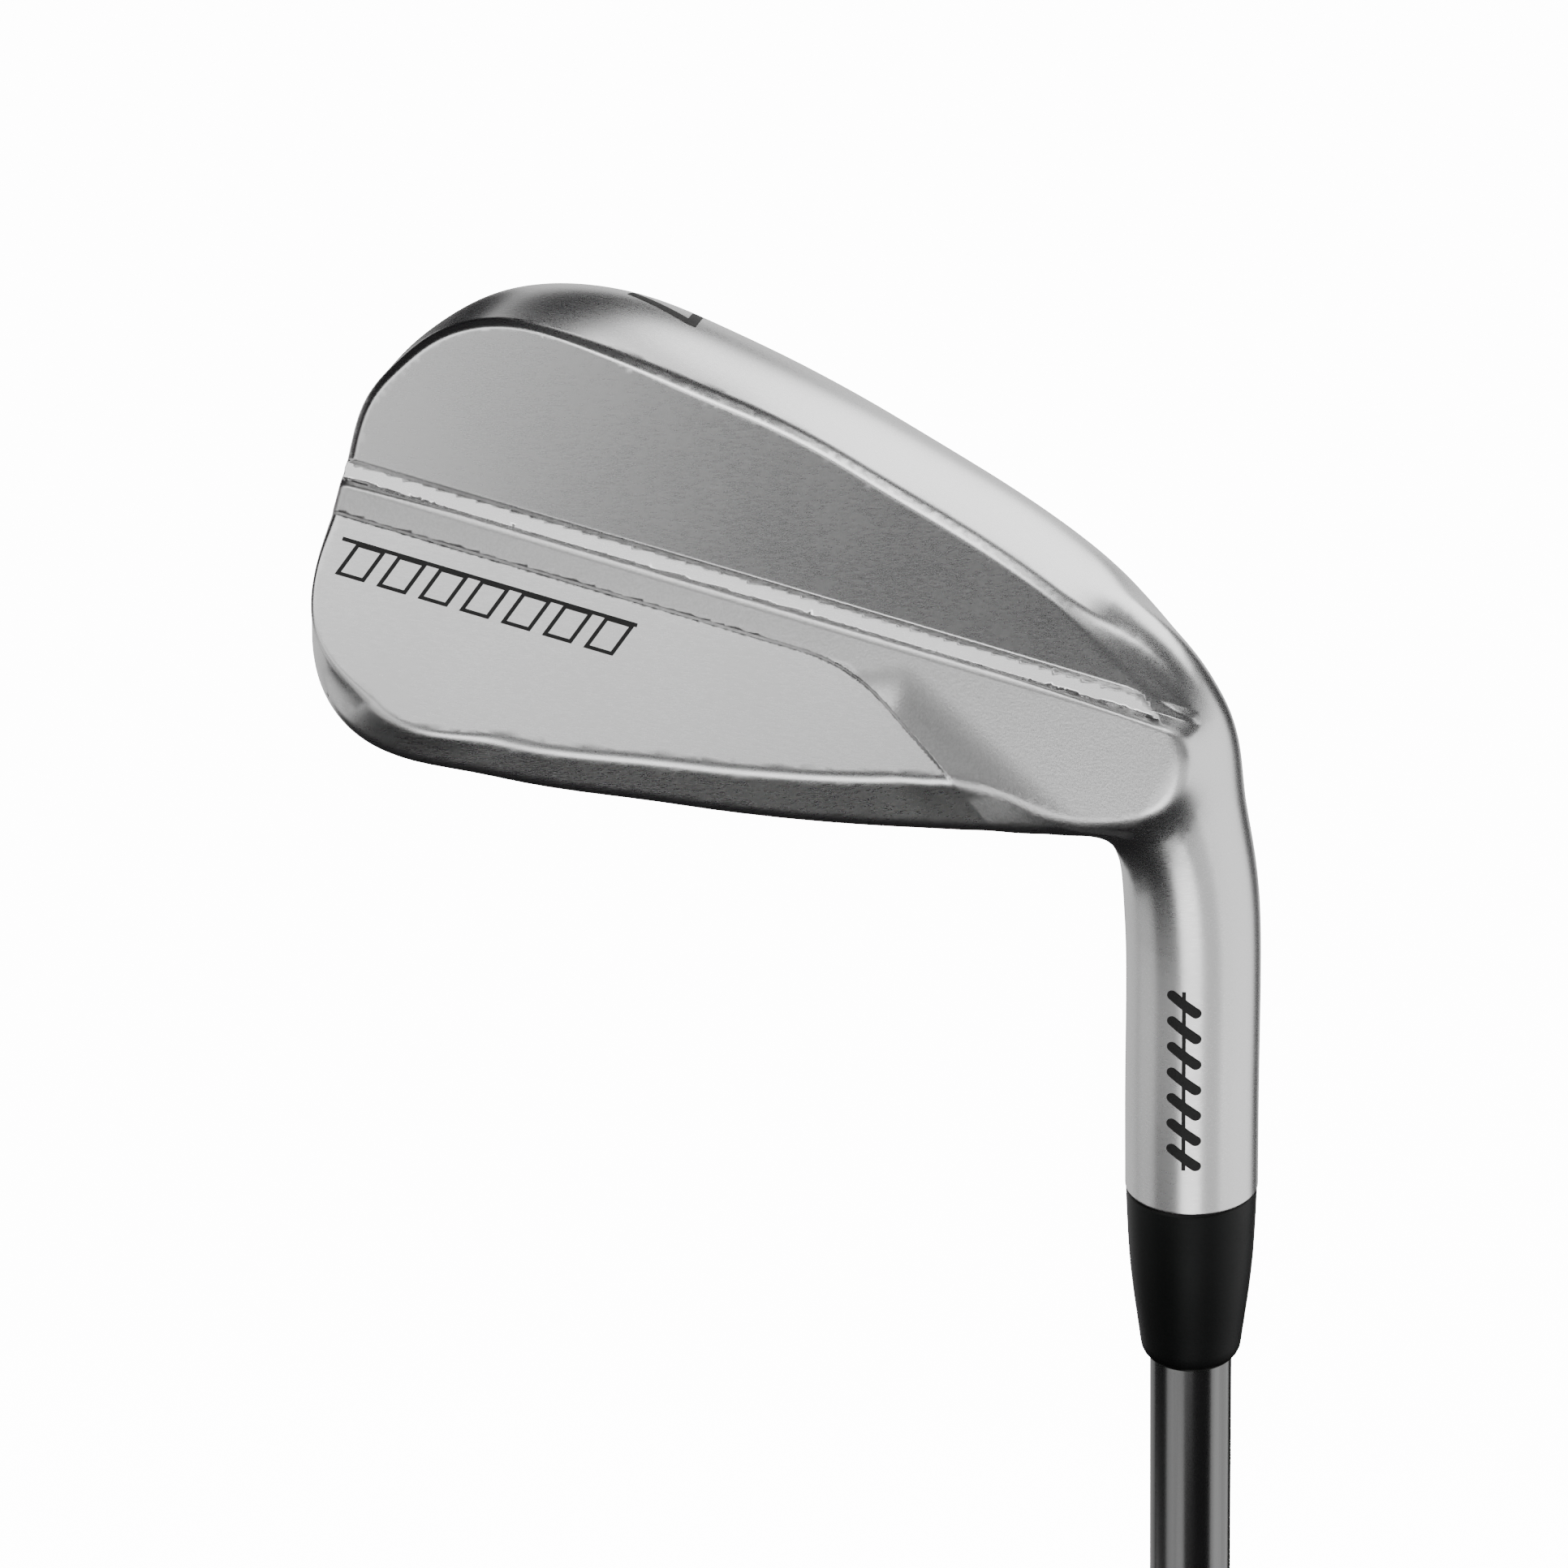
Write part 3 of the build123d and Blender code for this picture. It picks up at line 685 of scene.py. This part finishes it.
def rubber_finish(tone):
    """Moulded rubber: diamond knurl in bands, smooth collars, a dusty bloom, and painted shade that darkens
    the knurl's grooves and the collars.
    """
    bloom = {"Sheen_Weight": 0.15, "Sheen_Roughness": 0.6}
    f = Finish("moulded_rubber", grey(tone), 0.0, 0.7, Specular_IOR_Level=0.3, **bloom)
    parts = f.node("ShaderNodeSeparateXYZ", None, f.place)
    turn = parts[1].math("ARCTAN2", parts[0]) * (KNURLS_ROUND / math.tau)
    height = parts[2] / (KNURL_PITCH * MM)
    one = ((turn + height) * math.tau).math("SINE")
    two = ((turn - height) * math.tau).math("SINE")
    knurl = (one * two).math("ABSOLUTE").between(0.02, 0.30)
    band = ((parts[2] / (BAND_PITCH * MM)).math("FRACT") - 0.5).math("ABSOLUTE")
    clear = band.between(0.455, 0.475)
    ends = parts[2].between(0.010, 0.012) * (1.0 - parts[2].between(0.254, 0.256))
    pattern = knurl * (1.0 - clear) * ends + (1.0 - ends)
    grain = f.noise(2600.0, detail=3.0)
    dust = f.noise(70.0, detail=5.0)
    # painted shade: the colour follows the knurl's height, darker grey in its grooves and on the collars,
    # lighter on the diamonds' tops
    knurl_painted_shade = f.mix(pattern, grey(tone * 0.45), grey(tone))
    f.set("Base Color", f.mix(dust.between(0.4, 0.8) * 0.5, knurl_painted_shade, grey(tone * 1.9)))
    f.set("Roughness", 0.58 + grain * 0.2 + dust * 0.1)
    f.bump(pattern + grain * 0.08 + clear * 0.4, 0.35)
    return f.material


def hidden_finish(name, color, metallic, roughness, scale, depth):
    """Cast, moulded or wound part inside the head, tube or grip."""
    f = Finish(name, color, metallic, roughness)
    mottle = f.noise(scale, detail=5.0)
    grain = f.noise(scale * 9.0, detail=2.0)
    dark = tuple(c * 0.7 for c in color)
    f.set("Base Color", f.mix(mottle.between(0.35, 0.7), color, dark))
    f.set("Roughness", roughness + grain * 0.15)
    f.bump(mottle + grain * 0.4, depth)
    return f.material


# ---------------------------------------------------------------- what a user would change
class IronSizes(bpy.types.PropertyGroup):
    voxel: bpy.props.FloatProperty(
        name="Head cell",
        description="Cell of the remesh that the head starts from",
        default=0.0007,
        unit="LENGTH",
    )
    ferrule_nose: bpy.props.FloatProperty(
        name="Ferrule nose", description="Radius of the ferrule's thin end", default=0.0054, unit="LENGTH"
    )
    shaft_step: bpy.props.FloatProperty(
        name="Shaft step",
        description="Growth of the tube's radius at each step",
        default=0.00026,
        unit="LENGTH",
    )


class IronFinishes(bpy.types.PropertyGroup):
    steel: bpy.props.FloatProperty(
        name="Steel", description="Reflectance of the satin head", default=0.62, subtype="FACTOR"
    )
    face: bpy.props.FloatProperty(
        name="Face", description="Reflectance of the face plate", default=0.5, subtype="FACTOR"
    )
    chrome: bpy.props.FloatProperty(
        name="Chrome", description="Reflectance of the plated tube", default=0.16, subtype="FACTOR"
    )
    ferrule: bpy.props.FloatProperty(
        name="Ferrule", description="Lightness of the black ferrule", default=0.002, subtype="FACTOR"
    )
    paint: bpy.props.FloatProperty(
        name="Paint", description="Lightness of the paint in the marks", default=0.008, subtype="FACTOR"
    )
    rubber: bpy.props.FloatProperty(
        name="Rubber", description="Lightness of the grip", default=0.028, subtype="FACTOR"
    )


def finish_of(name, maker, *values):
    """The finish of that name, made the first time it is asked for."""
    return bpy.data.materials.get(name) or maker(*values)


def dress(node, material):
    """Gives a CAD node its finish."""
    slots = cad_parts[node].data.materials
    slots.clear()
    slots.append(material)


# ---------------------------------------------------------------- the pieces
# stopper that closes the bore while the head is remeshed, in millimetres
STOPPER_RADIUS, STOPPER_LENGTH, STOPPER_MIDDLE = 5.5, 44, 890.2


class IRON_OT_head(bpy.types.Operator):
    """Forged head: a merged copy of the CAD head, remeshed and settled on the head's surface"""

    bl_idname = "iron.head"
    bl_label = "Head"

    def execute(self, context):
        sizes, looks = context.scene.iron_sizes, context.scene.iron_finishes
        rough = merged(["head_body", "face_plate", "damping_core", "toe_weight"])
        ends = {"radius1": STOPPER_RADIUS * MM, "radius2": STOPPER_RADIUS * MM, "depth": STOPPER_LENGTH * MM}
        plug = bmesh.ops.create_cone(rough, cap_ends=True, segments=32, **ends)
        bmesh.ops.translate(rough, verts=plug["verts"], vec=(0, 0, STOPPER_MIDDLE * MM))
        mesh = bpy.data.meshes.new("head_rough")
        rough.to_mesh(mesh)
        rough.free()
        helper = bpy.data.objects.new("head_rough", mesh)
        context.scene.collection.objects.link(helper)
        remesh = helper.modifiers.new("cells", "REMESH")
        remesh.mode = "VOXEL"
        remesh.voxel_size = sizes.voxel
        shell = bpy.data.meshes.new_from_object(helper.evaluated_get(context.evaluated_depsgraph_get()))
        bpy.data.objects.remove(helper)
        work = bmesh.new()
        work.from_mesh(shell)
        keep_largest(work)
        for _ in range(3):
            every_way = {"use_axis_x": True, "use_axis_y": True, "use_axis_z": True}
            bmesh.ops.smooth_vert(work, verts=work.verts, factor=0.5, **every_way)
            place_points(work, from_head(settle(to_head(work_points(work)), 4)))
        bmesh.ops.triangulate(work, faces=work.faces)
        refine(work, turn=9.0, shortest=0.17, rounds=4)
        place_points(work, from_head(settle(to_head(work_points(work)), 4)))
        score_cuts(work)
        points = to_head(work_points(work))
        carved, normals = carved_surface(points)
        place_points(work, from_head(carved))
        steel = finish_of("brushed_steel", steel_finish, looks.steel)
        piece = finish_piece("forged_head", work, steel, "head_body", smooth=32.0)
        piece.data.normals_split_custom_set_from_vertices([tuple(n) for n in normals])
        dress("face_plate", finish_of("milled_face", face_finish, looks.face))
        return {"FINISHED"}


def score_cuts(work):
    """Edges along the channel's sides, its end and the pad's step, which keep the walls straight."""
    slant = (-math.sin(CHANNEL_TURN), math.cos(CHANNEL_TURN))
    q0, q1 = CHANNEL_Q
    lines = [(slant, at) for at in (q0 - 0.5, q0 - 0.3, q0 - WALL, q0 + WALL, q1 - WALL, q1 + WALL)]
    lines += [(slant, q1 + at) for at in (0.3, 0.5, 0.75, 1.04)]
    lines += [(CHANNEL_END[:2], CHANNEL_END[2] + at) for at in (-WALL, WALL)]
    lines += [(slant, STEP_Q + at) for at in (-WALL - 0.5, -WALL, WALL, WALL + 0.5)]
    for (nx, ny), at in lines:
        length = math.hypot(nx, ny)
        spot = from_head(np.array([[nx * at / length**2, ny * at / length**2, 0.0]]))[0]
        normal = np.array([nx / length, ny / length, 0.0]) @ HEAD_AXES
        work.verts.index_update()
        x, y, z = to_head(work_points(work)).T
        gap = np.abs((nx * x + ny * y - at) / length)
        inside = (gap < 1.5) & (z > 6.0) & (x > -6.0) & ((at < STEP_Q - 1.0) | (x > 30.0))
        chosen = [f for f in work.faces if inside[f.verts[0].index]]
        edges = {e for f in chosen for e in f.edges}
        verts = {v for f in chosen for v in f.verts}
        geometry = [*chosen, *edges, *verts]
        bmesh.ops.bisect_plane(work, geom=geometry, dist=1e-6, plane_co=spot, plane_no=normal)
    bmesh.ops.triangulate(work, faces=[f for f in work.faces if len(f.verts) > 3])


def keep_largest(work):
    """Drops every loose shell but the largest."""
    work.verts.ensure_lookup_table()
    left = set(work.verts)
    shells = []
    while left:
        queue = [left.pop()]
        shell = []
        while queue:
            v = queue.pop()
            shell.append(v)
            for edge in v.link_edges:
                other = edge.other_vert(v)
                if other in left:
                    left.remove(other)
                    queue.append(other)
        shells.append(shell)
    shells.sort(key=len)
    for shell in shells[:-1]:
        bmesh.ops.delete(work, geom=shell, context="VERTS")


MARKS = {
    "pad_bars": "back_mark_fill",
    "sole_numeral": "sole_number_fill",
    "hosel_leaves": "hosel_mark_fill",
}
# in millimetres: the numeral's move up the sole, the paint's longest edge and its height over the steel
NUMERAL_SHIFT, PAINT_CELL, PAINT_LIFT = 1.5, 0.5, 0.025
# cosine between the steel's normal and a face of the paint that shows
OUTER_SIDE = 0.55


class IRON_OT_marks(bpy.types.Operator):
    """Paint in the engraved marks, laid on the head's surface"""

    bl_idname = "iron.marks"
    bl_label = "Marks"

    def execute(self, context):
        paint = finish_of("mark_paint", paint_finish, context.scene.iron_finishes.paint)
        for name, node in MARKS.items():
            work = merged([node])
            if name == "sole_numeral":
                bmesh.ops.translate(work, verts=work.verts, vec=Vector(BACKWARD * NUMERAL_SHIFT * MM))
            points = work_points(work)
            normals = surface_normals(points)
            work.faces.ensure_lookup_table()
            away = []
            for face in work.faces:
                face.normal_update()
                if float(np.array(face.normal) @ normals[face.verts[0].index]) < OUTER_SIDE:
                    away.append(face)
            bmesh.ops.delete(work, geom=away, context="FACES")
            for _ in range(4):
                long = [e for e in work.edges if e.calc_length() > PAINT_CELL * MM]
                bmesh.ops.subdivide_edges(work, edges=long, cuts=1)
                bmesh.ops.triangulate(work, faces=work.faces)
            place_points(work, from_head(settle(to_head(work_points(work)), 6, PAINT_LIFT)))
            finish_piece(name, work, paint, node, smooth=None)
        return {"FINISHED"}


class IRON_OT_ferrule(bpy.types.Operator):
    """Turned black ferrule with a rounded nose and a fine rim at the hosel"""

    bl_idname = "iron.ferrule"
    bl_label = "Ferrule"

    def execute(self, context):
        looks = context.scene.iron_finishes
        top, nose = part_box("ferrule")[1].z / MM, context.scene.iron_sizes.ferrule_nose / MM
        outer = [(7.0, 0.0), (7.13, 0.12), (7.15, 0.5), (7.06, 3.3), (6.93, 6.3), (6.78, 8.8), (6.63, 10.6)]
        outer += [(6.42, 12.7), (6.22, 14.4), (5.98, 16.3), (5.76, 18.0), (5.62, 19.2), (nose + 0.08, 20.1)]
        outer += [(nose - 0.12, 20.6), (nose - 0.4, 20.95), (4.85, 21.12), (4.62, 21.18)]
        outer += [(4.52, 21.1), (4.52, 0.0)]
        profile = [(r, top - s) for r, s in outer]
        profile.append(profile[0])
        black = finish_of("turned_plastic", ferrule_finish, looks.ferrule)
        lathe("black_ferrule", profile, 128, black, "ferrule", smooth=50.0)
        return {"FINISHED"}


# steps of the tube: how many, the height of the first and the fall to the next, in millimetres
STEP_COUNT, FIRST_STEP, STEP_PITCH = 12, 641.0, 31.0


class IRON_OT_shaft(bpy.types.Operator):
    """Stepped steel tube, turned from the bore's floor to the butt"""

    bl_idname = "iron.shaft"
    bl_label = "Shaft"

    def execute(self, context):
        low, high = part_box("shaft")
        step, wall, tip = context.scene.iron_sizes.shaft_step / MM, 0.45, 4.5
        outer = [(tip - 0.15, high.z / MM), (tip, high.z / MM - 0.15)]
        radius = tip
        for k in range(STEP_COUNT):
            start = FIRST_STEP - STEP_PITCH * k
            outer += [(radius, start), (radius + 0.03, start - 0.15), (radius + step - 0.03, start - 1.05)]
            radius += step
            outer.append((radius, start - 1.2))
        outer += [(radius, low.z / MM + 0.15), (radius - 0.15, low.z / MM)]
        inner = [(r - wall, z) for r, z in reversed(outer[2:-2])]
        profile = outer + [(radius - wall, low.z / MM)] + inner + [(tip - wall, high.z / MM), outer[0]]
        chrome = finish_of("drawn_chrome", chrome_finish, context.scene.iron_finishes.chrome)
        lathe("stepped_shaft", profile, 96, chrome, "shaft", smooth=60.0)
        return {"FINISHED"}


# the grip, in millimetres
BUTT_RADIUS, TAPE_THICKNESS, CAP_TOP = 7.62, 0.15, 5.0
GRIP_RINGS = 104
GROOVES = (9.5, 258.0, 261.0)


class IRON_OT_grip(bpy.types.Operator):
    """Rubber grip with moulded collars, and its cap with the vent hole"""

    bl_idname = "iron.grip"
    bl_label = "Grip"

    def execute(self, context):
        rubber = finish_of("moulded_rubber", rubber_finish, context.scene.iron_finishes.rubber)
        low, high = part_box("grip_sleeve")
        inner = BUTT_RADIUS + TAPE_THICKNESS
        shape = [(CAP_TOP, 13.2), (30, 12.9), (95, 11.9), (170, 10.9), (235, 9.9), (267, 9.0)]
        outer = []
        for k in range(GRIP_RINGS + 1):
            z = CAP_TOP + (high.z / MM - CAP_TOP) * k / GRIP_RINGS
            r = float(np.interp(z, [s[0] for s in shape], [s[1] for s in shape]))
            near = min(abs(z - groove) for groove in GROOVES)
            outer.append((r - (0.35 if near < 0.9 else 0.0) - 0.03, z))
        outer[0] = (outer[0][0] - 0.25, outer[0][1])
        outer[-1] = (outer[-1][0] - 0.3, outer[-1][1])
        profile = [(inner, low.z / MM), *outer, (inner, high.z / MM), (inner, low.z / MM)]
        lathe("rubber_grip", profile, 96, rubber, "grip_sleeve", smooth=45.0)
        flange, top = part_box("grip_cap")[1].x / MM, CAP_TOP
        cap = [(1.6, 0.15), (1.75, 0.0), (flange - 1.9, 0.0), (flange - 1.25, 0.1), (flange - 0.65, 0.42)]
        cap += [(flange - 0.22, 0.95), (flange, 1.7), (flange, top - 0.9), (flange - 0.15, top - 0.35)]
        cap += [(flange - 0.5, top), (1.6, top), (1.6, 0.15)]
        lathe("grip_cap_button", cap, 96, rubber, "grip_cap", smooth=50.0)
        return {"FINISHED"}


class IRON_OT_hidden(bpy.types.Operator):
    """Finishes for the parts inside the head, the bore and the grip"""

    bl_idname = "iron.hidden"
    bl_label = "Hidden parts"

    def execute(self, context):
        looks = context.scene.iron_finishes
        insides = {
            "toe_weight": ("cast_weight", (0.36, 0.35, 0.33), 1.0, 0.42, 900.0, 0.03),
            "damping_core": ("foamed_core", (0.16, 0.19, 0.24), 0.0, 0.6, 500.0, 0.05),
            "bore_plug": ("plug_polymer", (0.05, 0.05, 0.055), 0.0, 0.55, 700.0, 0.03),
            "tip_plug": ("tip_polymer", (0.06, 0.06, 0.06), 0.0, 0.55, 700.0, 0.03),
            "epoxy_bond": ("cured_resin", (0.38, 0.33, 0.22), 0.0, 0.35, 600.0, 0.03),
            "grip_tape": ("wound_tape", (0.52, 0.44, 0.3), 0.0, 0.8, 400.0, 0.04),
        }
        replaced = {
            "head_body": finish_of("brushed_steel", steel_finish, looks.steel),
            "shaft": finish_of("drawn_chrome", chrome_finish, looks.chrome),
            "ferrule": finish_of("turned_plastic", ferrule_finish, looks.ferrule),
            "grip_sleeve": finish_of("moulded_rubber", rubber_finish, looks.rubber),
            "grip_cap": finish_of("moulded_rubber", rubber_finish, looks.rubber),
            "back_mark_fill": finish_of("mark_paint", paint_finish, looks.paint),
            "sole_number_fill": finish_of("mark_paint", paint_finish, looks.paint),
            "hosel_mark_fill": finish_of("mark_paint", paint_finish, looks.paint),
        }
        for node, values in insides.items():
            replaced[node] = finish_of(values[0], hidden_finish, *values)
        for node, material in replaced.items():
            dress(node, material)
        return {"FINISHED"}


# ---------------------------------------------------------------- stage
# camera: turn, rise and roll in degrees; lens, sensor and distance from the hosel's end in millimetres
CAMERA_ANGLES = (14.9, 26.3, -1.55)
CAMERA_LENS, CAMERA_SENSOR, CAMERA_REACH = 149.068, 36.0, 707.965
# how far right of and above the view's middle the hosel's end stands
HOSEL_IN_VIEW = (44.425, -43.451)
# lights: range of azimuth and of elevation in degrees, as the head sees them, and radiance
LIGHTS = {
    "front_high": ((-38.0, 16.0), (8.5, 38.0), 2.2),
    "front_left": ((-54.0, -4.0), (-17.0, 5.0), 1.4),
    "front_low": ((-4.0, 24.0), (-40.0, -24.5), 4.4),
    "low_left": ((-92.0, -58.0), (-36.0, -14.0), 1.0),
    "high_right": ((20.0, 54.0), (32.0, 56.0), 5.5),
    "low_middle": ((-57.0, -5.0), (-29.0, -21.0), 0.9),
    "low_right": ((27.0, 64.0), (-36.0, -20.0), 1.3),
    "back_top": ((108.0, 168.0), (18.0, 53.0), 3.6),
    "back": ((164.0, 202.0), (-34.0, 16.0), 1.1),
    "right": ((66.0, 130.0), (-42.0, 8.0), 1.8),
    "back_left": ((-150.0, -100.0), (-38.0, 10.0), 0.9),
}
LIGHTS_MIDDLE = (-0.03, 0.0, 0.92)


def softbox(name, azimuths, rises, radiance, reach=1.45):
    """Rectangular studio light that looks at the head and fills a range of directions."""
    lamp = bpy.data.lights.new(name, "AREA")
    lamp.shape = "RECTANGLE"
    lamp.size, lamp.size_y = (
        2.0 * reach * math.tan(math.radians(high - low) / 2) for low, high in (azimuths, rises)
    )
    lamp.energy = math.pi * lamp.size * lamp.size_y * radiance
    light = bpy.data.objects.new(name, lamp)
    turn, rise = math.radians(sum(azimuths) / 2), math.radians(sum(rises) / 2)
    toward = Vector((math.sin(turn) * math.cos(rise), -math.cos(turn) * math.cos(rise), math.sin(rise)))
    light.location = Vector(LIGHTS_MIDDLE) + toward * reach
    light.rotation_euler = toward.to_track_quat("Z", "Y").to_euler()
    light.visible_camera = False
    bpy.context.scene.collection.objects.link(light)


class IRON_OT_stage(bpy.types.Operator):
    """Camera, pale floor with a curved backdrop all round, and soft studio lights"""

    bl_idname = "iron.stage"
    bl_label = "Stage"

    def execute(self, context):
        turn, rise, roll = (math.radians(angle) for angle in CAMERA_ANGLES)
        back = Vector((math.sin(turn) * math.cos(rise), -math.cos(turn) * math.cos(rise), math.sin(rise)))
        right = Vector((math.cos(turn), math.sin(turn), 0.0))
        up = back.cross(right)
        side = right * math.cos(roll) + up * math.sin(roll)
        top = up * math.cos(roll) - right * math.sin(roll)
        x, y = HOSEL_IN_VIEW
        eye = Vector((0.0, 0.0, HOSEL_TOP)) + back * CAMERA_REACH - side * x - top * y
        lens = bpy.data.cameras.new("studio_camera")
        lens.sensor_width = CAMERA_SENSOR
        lens.lens = CAMERA_LENS
        lens.clip_start, lens.clip_end = 0.05, 50.0
        camera = bpy.data.objects.new("studio_camera", lens)
        camera.matrix_world = Matrix(
            [(side[i], top[i], back[i], eye[i] * MM) for i in range(3)] + [(0.0, 0.0, 0.0, 1.0)]
        )
        context.scene.collection.objects.link(camera)
        context.scene.camera = camera

        work = bmesh.new()
        bend = [(4.0 + 1.5 * math.sin(a), 1.5 - 1.5 * math.cos(a)) for a in np.linspace(0.0, math.pi / 2, 13)]
        ring = [work.verts.new((r, 0.0, z - 0.0006)) for r, z in [(0.0, 0.0), *bend, (5.5, 6.0), (0.0, 6.0)]]
        rail = [work.edges.new(pair) for pair in zip(ring, ring[1:])]
        full_turn(work, ring + rail, 96)
        bmesh.ops.remove_doubles(work, verts=work.verts, dist=1e-5)
        bmesh.ops.recalc_face_normals(work, faces=work.faces)
        bmesh.ops.reverse_faces(work, faces=work.faces)
        mesh = bpy.data.meshes.new("studio_cove")
        work.to_mesh(mesh)
        work.free()
        mesh.polygons.foreach_set("use_smooth", [True] * len(mesh.polygons))
        cove = bpy.data.objects.new("studio_cove", mesh)
        context.scene.collection.objects.link(cove)
        paper = Finish("studio_paper", grey(0.85), 0.0, 0.9)
        tone = paper.noise(3.0, detail=2.0)
        paper.set("Base Color", paper.mix(tone, grey(0.84), grey(0.86)))
        paper.set("Emission Color", (1.0, 1.0, 1.0, 1.0))
        paper.set("Emission Strength", 14.0)
        mesh.materials.append(paper.material)
        cove.visible_glossy = False
        cove.visible_diffuse = False
        cove.visible_shadow = False

        world = bpy.data.worlds.new("studio_world")
        world.use_nodes = True
        world.node_tree.nodes["Background"].inputs[0].default_value = (0.012, 0.012, 0.013, 1.0)
        context.scene.world = world
        for name, (azimuths, rises, radiance) in LIGHTS.items():
            softbox(name, azimuths, rises, radiance)
        return {"FINISHED"}


class IRON_PT_panel(bpy.types.Panel):
    """Sizes, finishes and builders of the iron"""

    bl_label = "Iron"
    bl_idname = "IRON_PT_panel"
    bl_space_type = "VIEW_3D"
    bl_region_type = "UI"
    bl_category = "Iron"

    def draw(self, context):
        for group in (context.scene.iron_sizes, context.scene.iron_finishes):
            for key in group.__annotations__:
                self.layout.prop(group, key)
        for operator in PIECES:
            self.layout.operator(operator.bl_idname)


PIECES = (
    IRON_OT_stage,
    IRON_OT_head,
    IRON_OT_marks,
    IRON_OT_ferrule,
    IRON_OT_shaft,
    IRON_OT_grip,
    IRON_OT_hidden,
)
CLASSES = (IronSizes, IronFinishes, *PIECES, IRON_PT_panel)


def register():
    for cls in CLASSES:
        bpy.utils.register_class(cls)
    bpy.types.Scene.iron_sizes = bpy.props.PointerProperty(type=IronSizes)
    bpy.types.Scene.iron_finishes = bpy.props.PointerProperty(type=IronFinishes)


def unregister():
    del bpy.types.Scene.iron_finishes
    del bpy.types.Scene.iron_sizes
    for cls in reversed(CLASSES):
        bpy.utils.unregister_class(cls)


def main():
    register()
    for build in (
        bpy.ops.iron.stage,
        bpy.ops.iron.head,
        bpy.ops.iron.marks,
        bpy.ops.iron.ferrule,
        bpy.ops.iron.shaft,
        bpy.ops.iron.grip,
        bpy.ops.iron.hidden,
    ):
        build()


if __name__ == "__main__":
    main()
